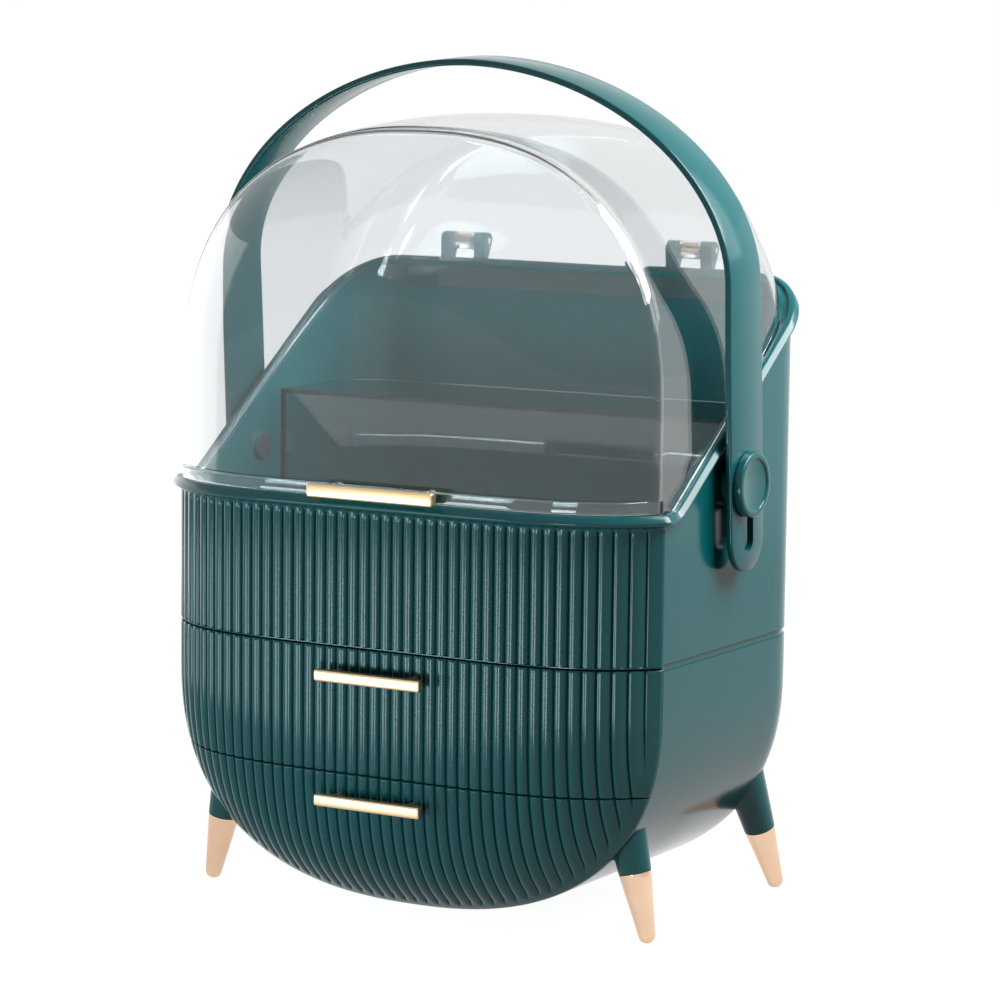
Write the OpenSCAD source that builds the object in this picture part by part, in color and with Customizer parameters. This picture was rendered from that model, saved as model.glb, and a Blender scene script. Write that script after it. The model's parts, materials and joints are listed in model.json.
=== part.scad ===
// Dustproof makeup organizer: fluted case on four legs, clear domed lid, carrying handle, two drawers.
// Millimetres. X to the right, Y to the back, Z up. The origin is on the floor, below the middle of the case.

/* [Case] */
// Width over the flat sides
case_w = 250; // [220:1:300]
// Distance from the origin forward to the edge where the bulging front begins
front_edge = 74; // [60:1:90]
// Distance from the origin back to the rear face
back_y = 67; // [56:1:82]
// How far the front bulges forward of its edge
bulge = 29; // [20:0.5:36]
// Height of the lowest point of the case above the floor
floor_gap = 4.4; // [2:0.2:10]
// Height of the U-shaped bottom curve
curve_h = 100.3; // [90:0.1:110]
// Wall of the lower casing
case_wall = 2.5; // [2:0.1:3.5]
// Radius of the upright rear corners
corner_r = 30; // [20:1:36]
// Height of the seam between the tray and the upper drawer
tray_seam_z = 122.9; // [118:0.1:136]
// Height of the seam between the two drawers
drawer_seam_z = 66.5; // [60:0.1:72]

/* [Tray and rim] */
// Height of the rim at the front
rim_front_z = 189; // [170:1:215]
// Rise of the rim per millimetre towards the rear
rim_slope = 0.715; // [0.5:0.005:0.75]
// Overhang of the rounded lip
rim_flare = 3.5; // [2:0.5:4]
// Height of the lip
rim_h = 5; // [3:0.5:7]
// Wall of the tray
tray_wall = 2.8; // [2.4:0.1:3.6]
// Thickness of the tray floor
tray_floor = 2.5; // [2:0.1:4]
// Height of the step shelf above the tray floor
step_h = 97.4; // [60:0.1:110]
// Distance of the step's riser in front of the origin
step_front = 5; // [0:0.5:6]
// Thickness of the step shelf
step_wall = 2; // [1.5:0.1:3]

/* [Lid] */
// Height where the lid's arch begins
arch_z = 232; // [225:1:245]
// Height of the lid's arch
arch_h = 116.8; // [100:0.1:122]
// Wall of the clear lid
lid_wall = 2.2; // [1.8:0.1:3]
// How far the lid's outside lies inside the case's outside
lid_inset = 1.6; // [1.3:0.1:2]
// Height of the flange along the lid's front
flange_h = 5.4; // [4:0.2:7]
// Overhang of that flange
flange_out = 2.5; // [1:0.1:3]

/* [Hinges] */
// Distance of each hinge from the middle
hinge_x = 60; // [40:1:80]
// Width of one hinge
hinge_w = 24; // [18:1:30]
// Radius of the knuckles
knuckle_r = 4; // [3.5:0.1:4.5]
// Diameter of the hinge pins
hinge_pin_d = 3; // [2:0.1:4]

/* [Handle] */
// Thickness of the handle band
band_t = 3; // [2.4:0.1:4]
// Width of the arms
arm_w = 31; // [26:0.5:36]
// Width of the band at its top
top_w = 25; // [20:0.5:31]
// Clear height between the lid's top and the handle's top
over_lid = 31.5; // [28:0.5:50]
// How much higher the handle's arch begins than the lid's
handle_rise = 53; // [40:1:60]
// Space between the lip and the inside of the arms
band_side_gap = 1.7; // [1:0.1:4]
// Forward lean of the handle in degrees
handle_lean = 3.5; // [0:0.5:5]
// Height of the pivot
pivot_z = 196.8; // [185:0.1:200]
// Distance of the pivot in front of the origin
pivot_front = 12.9; // [12:0.1:24]
// Travel of the handle along its slots
slide_travel = 25; // [10:1:26]
// Width of the slots
slot_w = 10; // [8:0.1:11]
// Diameter of the pivot caps
cap_d = 29; // [24:0.5:30]
// Height of a cap above the arm
cap_h = 4.2; // [3:0.1:6]
// Diameter of the pivot studs
stud_d = 6; // [5:0.1:6]

/* [Drawers] */
// Space beside the upper drawer box, where the screw bosses stand
box_side_gap = 12.5; // [10:0.5:20]
// Wall of the drawer boxes
box_wall = 1.8; // [1.5:0.1:2.5]
// Floor of the drawer boxes
box_floor = 2; // [1.5:0.1:3]
// Wall of the drawer fronts
front_wall = 2.4; // [2:0.1:3]
// Thickness of the shelf between the drawers
shelf_t = 2; // [1.6:0.1:3]
// Gap behind the drawer boxes
box_back_gap = 7.5; // [4:0.5:12]
// Distance of the upper drawer's guide rails from the sides of its box
upper_rail_in = 12; // [8:1:30]
// Distance of the lower drawer's guide rails from the middle
lower_rail_x = 56; // [40:1:60]

/* [Pull bars] */
// Length of the drawer bars
drawer_bar_l = 54; // [40:1:80]
// Height of the drawer bars' section
drawer_bar_h = 5.2; // [4:0.1:7]
// Length of the lid bar
lid_bar_l = 64; // [40:1:90]
// Height of the lid bar's section
lid_bar_h = 6; // [4:0.1:6]
// Depth of every bar's section
bar_t = 4.6; // [4:0.1:6]
// Clear space between a drawer front and its bar
bar_gap = 5.7; // [4:0.1:8]
// Height of the upper drawer's bar
upper_bar_z = 111.1; // [100:0.1:114]
// Height of the lower drawer's bar
lower_bar_z = 55.4; // [48:0.1:58]

/* [Legs] */
// How far each foot stands inside the case's side
foot_in_side = 11; // [8:0.5:21]
// How far each front foot stands behind the case's front edge
foot_in_front = 10.5; // [10:0.5:19]
// How far each rear foot stands in front of the case's back
foot_in_back = 5; // [3:0.5:17]
// Length of a plated ferrule
ferrule_l = 28; // [20:1:30]
// Diameter of a ferrule at its top
ferrule_top_d = 14.5; // [12:0.1:16]
// Diameter of a ferrule's rounded tip
ferrule_tip_d = 7.7; // [6:0.1:9]

/* [Fits] */
// Gap between parts that move past each other
gap = 0.4; // [0.3:0.05:0.6]
// Radial clearance of a pin that turns in its bore
turn_fit = 0.05; // [0.02:0.01:0.1]
// Diameter of the screws
screw_d = 3; // [2.5:0.1:3.5]

/* [Hidden] */
$fn = 48;

green = [0.13, 0.33, 0.33];
clear = [0.85, 0.88, 0.90, 0.4];
gold = [0.85, 0.68, 0.53];
steel = [0.7, 0.7, 0.72];

half_w = case_w / 2;
curve_z = floor_gap + curve_h;
foot_x = half_w - foot_in_side;
foot_front = front_edge - foot_in_front;
foot_back = back_y - foot_in_back;
curve_e = 2.4;
bulge_e = 5.4;
curve_steps = 28;
front_steps = 26;
arch_steps = 32;
handle_steps = 40;
handle_e = 1.92;
far = 400;
cut = 1;

// Edges that face each other across the front seam
front_back_y = -front_edge + gap;
casing_front_y = front_back_y + gap;
groove_h = 3;
groove_in = 1;
casing_top_z = tray_seam_z - groove_h / 2;
tray_inside_z = tray_seam_z + gap + tray_floor;

// Rim
rim_knee_y = -front_edge + 8.5;
ledge_drop = 2;
ledge_t = 2;
seat_in = lid_inset + lid_wall + 2;
lid_seat_gap = 0.25;
lid_side_gap = 0.3;
flange_gap = 0.6;
flange_y = front_y(front_edge + flange_out / 2, bulge + flange_out / 2, 0);
lid_bar_z = rim_front_z + flange_gap + flange_h / 2;

// Hinge axis
hinge_y = back_y + 3.5;
hinge_z = rim_z(back_y + rim_flare) + 5.7;

// Handle, upright before it leans
band_in = half_w + rim_flare + band_side_gap;
band_out = band_in + band_t;
handle_arch_z = arch_z + handle_rise;
handle_arch_h = arch_z + arch_h + over_lid - handle_arch_z;
arm_end_drop = 23.3;
washer_d = 20;
cap_recess_d = cap_d - 7;
cap_recess = 0.8;
neck_r = slot_w / 2 - 0.3;
side_gap = 0.3;
stud_head_d = 12;
stud_head_h = 2.5;
stud_end_x = band_out + cap_h - 1.7;

// Drawers
upper_box_half = half_w - case_wall - box_side_gap;
upper_rail_x = upper_box_half - upper_rail_in;
box_top_z = casing_top_z - 4.4;
rail_base = 2;
rail_lip = 2;
rail_w = 8;
rail_lip_t = 1.2;
skid_w = rail_w - 2 * rail_lip_t - 2 * gap;
skid_h = rail_lip + 0.3;
run_gap = 0.3;
shelf_top_z = drawer_seam_z + shelf_t / 2;
shelf_z = shelf_top_z - shelf_t;
upper_rail_z = shelf_top_z + rail_base;
lower_rail_z = 19.6;
upper_box_z = upper_rail_z + run_gap + skid_h;
lower_box_z = lower_rail_z + run_gap + skid_h;
lower_box_top_z = shelf_z - 4.9;
lower_box_in = case_wall + 2.5;
box_back_y = back_y - case_wall - box_back_gap;
rail_back_y = back_y - case_wall - 0.5;
block = 10;
block_in = 20;
upper_blocks = [for (z = [tray_seam_z - 14, drawer_seam_z + 13]) [upper_box_half - block_in, z]];
lower_blocks = [for (z = [drawer_seam_z - 14, drawer_seam_z - 33])
    [curve_half(half_w - lower_box_in, curve_h - lower_box_in, curve_e, curve_z - z) - block_in, z]];

// Screws
head_d = 5.6;
head_h = 2;
screw_fit = 0.05;
boss_x = half_w - tray_wall - head_d / 2 - gap;
boss_r = half_w - case_wall + 0.5 - boss_x;
boss_h = 24;
boss_ys = [-50, 30];

// Bars
bar_chamfer = 1;
post_d = 5;
post_in = 8;

// Legs
tip_r = ferrule_tip_d / 2;
tip_z = tip_r - 0.4;
leg_l = 62;
leg_top_r = 10;
spigot_r = 3.5;
spigot_l = 17;
front_lean = [-6, -0.5, 27];
rear_lean = [-4, -10, 27];

// ---------- functions ----------

function root_of(a, e) = a <= 0 ? 0 : pow(a, e);
function signed_pow(c, e) = sign(c) * root_of(abs(c), e);

// Height of the rim's top at a distance y
function rim_z(y) = rim_front_z + rim_slope * max(0, y - rim_knee_y);

// Half an ellipse-like curve from one side to the other; h is negative for a bottom curve
function curve_points(half, z, h, e, n) =
    [for (i = [0:n]) let (a = 180 * i / n)
        [-half * signed_pow(cos(a), 2 / e), z + h * root_of(sin(a), 2 / e)]];

// Half width of such a curve at the height distance d from its straight part
function curve_half(half, h, e, d) = d <= 0 ? half : half * root_of(1 - root_of(d / h, e), 1 / e);

// The bulging front's distance forward, at the share r of the way to its edge
function front_y(edge, depth, r) = -edge - depth * (1 - root_of(r, bulge_e));

// Positions across the front, closer together towards the edges
function across(i) = sin(90 * (2 * i / front_steps - 1));

// Outline of the case seen from above, moved inwards by d
function plan_points(d) = let (half = half_w - d, r = corner_r - d, back = back_y - d)
    concat(
        [for (i = [0:front_steps])
            [half * across(i), front_y(front_edge - d / 2, bulge - d / 2, abs(across(i)))]],
        [for (a = [0:15:90]) [half - r + r * cos(a), back - r + r * sin(a)]],
        [for (a = [90:15:180]) [-half + r + r * cos(a), back - r + r * sin(a)]]);

// One level outline of a bulging front at the height z; up is +1 for an arch, -1 for a bottom curve
function front_row(d, z, mid_z, h, up, y_back) =
    let (rise = max(0, up * (z - mid_z)), half = curve_half(half_w - d, h - d, curve_e, rise))
    concat(
        [for (i = [0:front_steps])
            let (x = half * across(i),
                r = pow(pow(abs(x) / (half_w - d), curve_e) + pow(rise / (h - d), curve_e), 1 / curve_e))
            [x, front_y(front_edge - d / 2, bulge - d / 2, min(1, r)), z]],
        [[half, y_back, z], [-half, y_back, z]]);

// ---------- shared shapes ----------

// Draws a shape given in X and Z and carries it along Y
module along_y(y0, y1) {
    translate([0, y1, 0]) rotate([90, 0, 0]) linear_extrude(y1 - y0) children();
}

// Draws a shape given in Y and Z and carries it along X
module along_x(x0, x1) {
    translate([x0, 0, 0]) rotate([90, 0, 90]) linear_extrude(x1 - x0) children();
}

// The case's outline seen from above, as an upright prism
module plan_prism(d, z0, z1) {
    translate([0, 0, z0]) linear_extrude(z1 - z0) polygon(plan_points(d));
}

// The case's U-shaped outline seen from the front
module case_outline(d, top) {
    polygon(concat([[half_w - d, top], [-half_w + d, top]],
        curve_points(half_w - d, curve_z, -(curve_h - d), curve_e, curve_steps)));
}

// The lid's arched outline seen from the front
module lid_outline(d) {
    polygon(concat([[half_w - d, tray_seam_z], [-half_w + d, tray_seam_z]],
        curve_points(half_w - d, arch_z, arch_h - d + lid_inset, curve_e, arch_steps)));
}

// Everything above the rim's top, shifted up by dz
module above_rim(dz) {
    along_x(-far, far) polygon([[-far, rim_front_z + dz], [rim_knee_y, rim_front_z + dz],
        [far, rim_z(far) + dz], [far, rim_z(far) + far], [-far, rim_z(far) + far]]);
}

// Everything below the rim's top, shifted up by dz
module below_rim(dz) {
    along_x(-far, far) polygon([[-far, 0], [far, 0], [far, rim_z(far) + dz],
        [rim_knee_y, rim_front_z + dz], [-far, rim_front_z + dz]]);
}

// A closed solid skinned over level outlines that lie one above the other
module skin(rows) {
    n = len(rows[0]);
    m = len(rows);
    polyhedron(points = [for (row = rows) each row], faces = concat(
        [[for (i = [0:n - 1]) i]],
        [[for (i = [n - 1:-1:0]) (m - 1) * n + i]],
        [for (j = [0:m - 2]) for (i = [0:n - 1]) let (k = (i + 1) % n)
            each [[j * n + i, (j + 1) * n + i, (j + 1) * n + k], [j * n + i, (j + 1) * n + k, j * n + k]]]));
}

// A bulging drawer front as a full solid, closer rows towards the bottom
module front_solid(d, z0, z1, y_back, rows) {
    skin([for (j = [0:rows]) let (z = z1 - (z1 - z0) * sin(90 * (1 - j / rows)))
        front_row(d, z, curve_z, curve_h, -1, y_back)]);
}

// A screw standing on the XY plane: shank up, head below
module screw(l) {
    cylinder(h = l, d = screw_d);
    translate([0, 0, -head_h]) cylinder(h = head_h, d = head_d);
}

// The bore for such a screw
module screw_bore(l) {
    cylinder(h = l, d = screw_d + 2 * screw_fit);
}

// Turns something that stands up along Z so that it points forward
module forward() {
    rotate([90, 0, 0]) children();
}

// The right side as drawn, or its mirror image on the left
module side_of(side) {
    if (side > 0) children();
    else mirror([1, 0, 0]) children();
}

// A guide rail with two lips, down to the depth given below its base
module rail(x, base_z, depth, y0, y1) {
    w = rail_w / 2;
    along_y(y0, y1) translate([x, base_z]) polygon([[-w, -depth], [w, -depth], [w, rail_lip],
        [w - rail_lip_t, rail_lip], [w - rail_lip_t, 0], [rail_lip_t - w, 0], [rail_lip_t - w, rail_lip],
        [-w, rail_lip]]);
}

// ---------- casing ----------

module case_solid(d, y0, top) {
    intersection() {
        along_y(y0, back_y - d) case_outline(d, top);
        plan_prism(d, -cut, top + cut);
    }
}

// Places something along a leg's axis, which starts at the rounded tip
module on_leg(front, side) {
    lean = front ? front_lean : rear_lean;
    side_of(side)
        translate([foot_x, front ? -foot_front : foot_back, tip_z])
            rotate([0, acos(lean[2] / norm(lean)), atan2(lean[1], lean[0])])
                children();
}

module leg(front, side) {
    on_leg(front, side) {
        translate([0, 0, ferrule_l])
            cylinder(h = leg_l - ferrule_l, r1 = ferrule_top_d / 2, r2 = leg_top_r);
        translate([0, 0, ferrule_l - spigot_l])
            cylinder(h = spigot_l + cut, r = spigot_r);
    }
}

module ferrule(front, side) {
    color(gold) intersection() {
        on_leg(front, side) difference() {
            union() {
                sphere(r = tip_r);
                cylinder(h = ferrule_l - run_gap / 2, r1 = tip_r, r2 = ferrule_top_d / 2);
            }
            translate([0, 0, ferrule_l - spigot_l - cut])
                cylinder(h = far, r = spigot_r + screw_fit);
        }
        translate([-far, -far, 0]) cube(2 * far);
    }
}

module shelf_ribs() {
    for (side = [-1, 1]) side_of(side)
        translate([half_w - 12, casing_front_y + 3, shelf_z - 2.5])
            cube([far, rail_back_y - casing_front_y - 6, 2.5]);
}

module boss_places() {
    for (side = [-1, 1]) for (y = boss_ys) translate([side * boss_x, y, casing_top_z]) children();
}

module lower_casing() {
    color(green) difference() {
        union() {
            case_solid(0, casing_front_y, casing_top_z);
            for (side = [-1, 1]) for (front = [true, false]) leg(front, side);
        }
        difference() {
            case_solid(case_wall, casing_front_y - far, casing_top_z + cut);
            for (side = [-1, 1])
                rail(side * lower_rail_x, lower_rail_z, lower_rail_z, casing_front_y + 1, rail_back_y);
            shelf_ribs();
            boss_places() translate([0, 0, -boss_h]) cylinder(h = boss_h, r = boss_r);
        }
        boss_places() mirror([0, 0, 1]) screw_bore(14);
    }
}

module mid_shelf() {
    color(green) {
        intersection() {
            case_solid(case_wall + 0.2, casing_front_y + 0.6, casing_top_z);
            translate([-far, -far, shelf_z]) cube([2 * far, 2 * far, shelf_t]);
        }
        for (side = [-1, 1])
            rail(side * upper_rail_x, upper_rail_z, rail_base + shelf_t / 2, casing_front_y + 1, rail_back_y - 1);
    }
}

module casing_screws() {
    color(steel) boss_places() translate([0, 0, tray_inside_z - casing_top_z])
        mirror([0, 0, 1]) screw(tray_inside_z - casing_top_z + 12);
}

// ---------- tray ----------

module hinge_ears() {
    for (side = [-1, 1]) for (end = [-1, 1]) {
        x0 = side * hinge_x + (end < 0 ? -hinge_w / 2 : hinge_w / 4);
        along_x(x0, x0 + hinge_w / 4) translate([hinge_y, hinge_z]) circle(r = knuckle_r);
        along_x(x0, x0 + hinge_w / 4) polygon([[hinge_y - 3.2, hinge_z], [hinge_y + 3.2, hinge_z],
            [back_y + rim_flare - 0.6, rim_z(back_y) - 1.5], [back_y, rim_z(back_y) - 1.5]]);
    }
}

module hinge_bores(fit) {
    for (side = [-1, 1]) along_x(side * hinge_x - hinge_w, side * hinge_x + hinge_w)
        translate([hinge_y, hinge_z]) circle(r = hinge_pin_d / 2 + fit);
}

module pivot_axis() {
    translate([0, -pivot_front, pivot_z]) rotate([0, 90, 0]) children();
}

// The ledge that the lid's edge rests on; it follows the lid's arch inwards at the rear
module lid_ledge() {
    difference() {
        intersection() {
            below_rim(-ledge_drop);
            above_rim(-ledge_drop - ledge_t);
        }
        intersection() {
            along_y(-far, back_y - seat_in) lid_outline(seat_in);
            plan_prism(seat_in, 0, far);
        }
    }
}

module upper_tray() {
    color(green) difference() {
        union() {
            intersection() {
                plan_prism(0, casing_top_z, far);
                below_rim(-1);
            }
            intersection() {
                plan_prism(-rim_flare, casing_top_z, far);
                below_rim(0);
                above_rim(-rim_h);
            }
            hinge_ears();
        }
        difference() {
            plan_prism(tray_wall, tray_inside_z, far + cut);
            lid_ledge();
        }
        intersection() {
            plan_prism(lid_inset - lid_side_gap, tray_inside_z, far + cut);
            above_rim(-ledge_drop);
        }
        translate([-far, -far, 0]) cube([2 * far, far + casing_front_y, tray_seam_z + gap]);
        difference() {
            translate([-far, casing_front_y - cut, casing_top_z - cut])
                cube([2 * far, far, groove_h + cut]);
            plan_prism(groove_in, 0, far);
        }
        hinge_bores(0.02);
        boss_places() screw_bore(far);
        pivot_axis() translate([0, 0, -far]) cylinder(h = 2 * far, d = stud_d + 2 * turn_fit);
    }
}

module step_shelf() {
    top = tray_inside_z + step_h;
    side = half_w - tray_wall - 6;
    color(clear) intersection() {
        plan_prism(tray_wall + 0.3, tray_inside_z, far);
        difference() {
            translate([-side, -step_front, tray_inside_z]) cube([2 * side, far, step_h]);
            translate([-side + step_wall, -step_front + step_wall, 0])
                cube([2 * (side - step_wall), far, top - step_wall]);
        }
    }
}

module hinge_pins() {
    color(gold) for (side = [-1, 1])
        along_x(side * hinge_x - hinge_w / 2 - 0.5, side * hinge_x + hinge_w / 2 + 0.5)
            translate([hinge_y, hinge_z]) circle(d = hinge_pin_d);
}

// ---------- lid ----------

module lid_shell() {
    color(clear) difference() {
        union() {
            intersection() {
                along_y(casing_front_y, back_y - lid_inset) lid_outline(lid_inset);
                plan_prism(lid_inset, 0, far);
                above_rim(lid_seat_gap - ledge_drop);
            }
            for (side = [-1, 1]) {
                x0 = side * hinge_x - hinge_w / 4 + run_gap;
                x1 = side * hinge_x + hinge_w / 4 - run_gap;
                along_x(x0, x1) translate([hinge_y, hinge_z]) circle(r = knuckle_r);
                along_x(x0, x1) polygon([[back_y - lid_inset - 1.2, hinge_z - 4],
                    [hinge_y, hinge_z - 3], [hinge_y, hinge_z + 3], [back_y - lid_inset - 1.2, hinge_z + 4]]);
            }
        }
        intersection() {
            along_y(-far, back_y - lid_inset - lid_wall) lid_outline(lid_inset + lid_wall);
            plan_prism(lid_inset + lid_wall, 0, far);
        }
        hinge_bores(turn_fit);
    }
}

// The lid's bulging front as a full solid, closer rows towards the top
module lid_front_solid(d, z0, y_back) {
    top = arch_z + arch_h + lid_inset - d - 0.2;
    rows = 14;
    skin([for (j = [0:rows]) front_row(d, z0 + (top - z0) * sin(90 * j / rows),
        arch_z, arch_h + lid_inset, 1, y_back)]);
}

module lid_front() {
    seat_z = rim_front_z - ledge_drop + lid_seat_gap;
    color(clear) difference() {
        union() {
            lid_front_solid(lid_inset, seat_z, casing_front_y);
            intersection() {
                plan_prism(-flange_out, rim_front_z + flange_gap, rim_front_z + flange_gap + flange_h);
                translate([-far, -far, 0]) cube([2 * far, far - front_edge, far]);
            }
        }
        lid_front_solid(lid_inset + lid_wall, seat_z - cut, casing_front_y + 5);
        bar_screw_places(lid_bar_l, lid_bar_z) translate([0, 0, 50]) screw_bore(far);
    }
}

// ---------- pull bars ----------

// Both screw axes of a bar, pointing forward from the middle of the case
module bar_screw_places(l, z) {
    for (side = [-1, 1]) translate([side * (l / 2 - post_in), 0, z]) forward() children();
}

// A bar whose posts stand at seat_y, reach over the clear space and carry blind bores
module pull_bar(l, h, z, seat_y, clear_gap) {
    c = bar_chamfer;
    w = bar_t;
    color(gold) difference() {
        union() {
            along_x(-l / 2, l / 2) translate([seat_y - clear_gap - w, z - h / 2])
                polygon([[c, 0], [w - c, 0], [w, c], [w, h - c], [w - c, h], [c, h], [0, h - c], [0, c]]);
            bar_screw_places(l, z) translate([0, 0, -seat_y]) cylinder(h = clear_gap + 1, d = post_d);
        }
        bar_screw_places(l, z) translate([0, 0, -seat_y - 1]) screw_bore(clear_gap + 1 + w / 2 + 0.5);
    }
}

// The screws of such a bar, with their heads at head_y inside
module bar_screws(l, z, seat_y, clear_gap, head_y) {
    color(steel) bar_screw_places(l, z) translate([0, 0, -head_y])
        screw(head_y - seat_y + clear_gap + bar_t / 2);
}

module lid_bar() {
    pull_bar(lid_bar_l, lid_bar_h, lid_bar_z, flange_y - 0.05, 2.2);
}

module lid_bar_screws() {
    inside_y = front_y(front_edge - (lid_inset + lid_wall) / 2, bulge - (lid_inset + lid_wall) / 2, 0);
    bar_screws(lid_bar_l, lid_bar_z, flange_y - 0.05, 2.2, inside_y + 0.05);
}

// ---------- drawers ----------

module screw_blocks(places) {
    for (side = [-1, 1]) for (p = places)
        translate([side * p[0] - block / 2, -far, p[1] - block / 2])
            cube([block, far + front_back_y, block]);
}

module block_bores(places, y0) {
    for (side = [-1, 1]) for (p = places)
        translate([side * p[0], y0, p[1]]) forward() screw_bore(14);
}

module drawer_front(z0, z1, rows, places, bar_z) {
    color(green) difference() {
        front_solid(0, z0, z1, front_back_y, rows);
        difference() {
            front_solid(front_wall, z0 + front_wall, z1 - front_wall, front_back_y + 5, rows);
            screw_blocks(places);
        }
        block_bores(places, front_back_y + cut);
        bar_screw_places(drawer_bar_l, bar_z) translate([0, 0, 50]) screw_bore(far);
    }
}

module front_screws(places) {
    color(steel) for (side = [-1, 1]) for (p = places)
        translate([side * p[0], front_back_y + box_wall, p[1]]) forward() screw(box_wall + 9);
}

// The bar's seat lies just ahead of the most forward point under its posts
function bar_seat_y(z) =
    let (r = max(0, curve_z - z - post_d / 2) / curve_h) front_y(front_edge, bulge, r) - 0.05;

// The inner face of the front behind a bar, level with the screw heads' lower edge
function bar_head_y(z) =
    let (r = max(0, curve_z - z + head_d / 2) / (curve_h - front_wall))
    front_y(front_edge - front_wall / 2, bulge - front_wall / 2, r) + 0.3;

module drawer_bar(z) {
    pull_bar(drawer_bar_l, drawer_bar_h, z, bar_seat_y(z), bar_gap);
}

module drawer_bar_screws(z) {
    bar_screws(drawer_bar_l, z, bar_seat_y(z), bar_gap, bar_head_y(z));
}

module skids(x, z) {
    for (side = [-1, 1]) along_y(front_back_y, box_back_y) translate([side * x - skid_w / 2, z - skid_h])
        square([skid_w, skid_h + box_floor / 2]);
}

module upper_drawer_box() {
    h = box_top_z - upper_box_z;
    color(green) difference() {
        union() {
            translate([-upper_box_half, front_back_y, upper_box_z])
                cube([2 * upper_box_half, box_back_y - front_back_y, h]);
            skids(upper_rail_x, upper_box_z);
        }
        translate([-upper_box_half + box_wall, front_back_y + box_wall, upper_box_z + box_floor])
            cube([2 * (upper_box_half - box_wall), box_back_y - front_back_y - 2 * box_wall, h]);
        block_bores(upper_blocks, front_back_y + box_wall + cut);
    }
}

module lower_drawer_box() {
    color(green) difference() {
        union() {
            intersection() {
                along_y(front_back_y, box_back_y) case_outline(lower_box_in, far);
                plan_prism(lower_box_in, lower_box_z, lower_box_top_z);
            }
            skids(lower_rail_x, lower_box_z);
        }
        intersection() {
            along_y(front_back_y + box_wall, box_back_y - box_wall) case_outline(lower_box_in + box_wall, far);
            plan_prism(lower_box_in + box_wall, lower_box_z + box_floor, far);
        }
        block_bores(lower_blocks, front_back_y + box_wall + cut);
    }
}

module upper_drawer_front() {
    drawer_front(drawer_seam_z + gap, tray_seam_z - gap, 6, upper_blocks, upper_bar_z);
}

module lower_drawer_front() {
    drawer_front(floor_gap + 0.2, drawer_seam_z - gap, 12, lower_blocks, lower_bar_z);
}

// ---------- handle ----------

module pivot_stud(side) {
    color(steel) side_of(side) pivot_axis() {
        translate([0, 0, half_w - tray_wall]) cylinder(h = stud_end_x - half_w + tray_wall, d = stud_d);
        translate([0, 0, half_w - tray_wall - stud_head_h]) cylinder(h = stud_head_h, d = stud_head_d);
    }
}

module pivot_cap(side) {
    color(green) side_of(side) pivot_axis() difference() {
        union() {
            translate([0, 0, band_in - side_gap]) cylinder(h = band_t + 2 * side_gap + cut, r = neck_r);
            translate([0, 0, band_out + side_gap]) cylinder(h = cap_h - side_gap, d = cap_d);
        }
        translate([0, 0, band_in - side_gap - cut])
            cylinder(h = stud_end_x + 0.2 - band_in + side_gap + cut, d = stud_d + 2 * turn_fit);
        translate([0, 0, band_out + cap_h - cap_recess]) cylinder(h = cap_recess + cut, d = cap_recess_d);
    }
}

module pivot_washer(side) {
    color(green) side_of(side) pivot_axis() difference() {
        translate([0, 0, half_w + side_gap]) cylinder(h = band_in - half_w - 2 * side_gap, d = washer_d);
        translate([0, 0, half_w]) cylinder(h = far, d = stud_d + 2 * turn_fit);
    }
}

module arch_band() {
    low = pivot_z - slide_travel - 4 * slot_w;
    polygon(concat(
        [[-band_out, low]],
        curve_points(band_out, handle_arch_z, handle_arch_h, handle_e, handle_steps),
        [[band_out, low], [band_in, low]],
        [for (p = curve_points(band_in, handle_arch_z, handle_arch_h - band_t, handle_e, handle_steps))
            [-p[0], p[1]]],
        [[-band_in, low]]));
}

// Side view of the handle: arms with round lower ends, narrower towards the top
module arm_profile() {
    r = arm_w / 2;
    end_z = pivot_z - arm_end_drop;
    top = handle_arch_z + handle_arch_h + cut;
    translate([-pivot_front, 0]) polygon(concat(
        [for (a = [180:15:360]) [r * cos(a), end_z + r * sin(a)]],
        [[r, handle_arch_z - 30], [top_w / 2, top], [-top_w / 2, top], [-r, handle_arch_z - 30]]));
}

module slot_profile() {
    r = slot_w / 2;
    translate([-pivot_front, pivot_z]) polygon(concat(
        [for (a = [0:15:180]) [r * cos(a), r * sin(a)]],
        [for (a = [180:15:360]) [r * cos(a), r * sin(a) - slide_travel]]));
}

module handle_band() {
    color(green)
        translate([0, -pivot_front, pivot_z]) rotate([handle_lean, 0, 0]) translate([0, pivot_front, -pivot_z])
            difference() {
                intersection() {
                    along_y(-far, far) arch_band();
                    along_x(-far, far) arm_profile();
                }
                along_x(-far, far) slot_profile();
            }
}

// ---------- nodes ----------

lower_casing();
mid_shelf();
upper_tray();
step_shelf();
casing_screws();
ferrule(true, -1);  // ferrule_front_left
ferrule(true, 1);  // ferrule_front_right
ferrule(false, -1);  // ferrule_rear_left
ferrule(false, 1);  // ferrule_rear_right
hinge_pins();
pivot_stud(-1);  // pivot_stud_left
pivot_stud(1);  // pivot_stud_right
lid_shell();
lid_front();
lid_bar();
lid_bar_screws();
pivot_cap(-1);  // pivot_cap_left
pivot_cap(1);  // pivot_cap_right
pivot_washer(-1);  // pivot_washer_left
pivot_washer(1);  // pivot_washer_right
handle_band();
upper_drawer_box();
upper_drawer_front();
drawer_bar(upper_bar_z);  // upper_drawer_bar
drawer_bar_screws(upper_bar_z);  // upper_bar_screws
front_screws(upper_blocks);  // upper_front_screws
lower_drawer_box();
lower_drawer_front();
drawer_bar(lower_bar_z);  // lower_drawer_bar
drawer_bar_screws(lower_bar_z);  // lower_bar_screws
front_screws(lower_blocks);  // lower_front_screws
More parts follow.
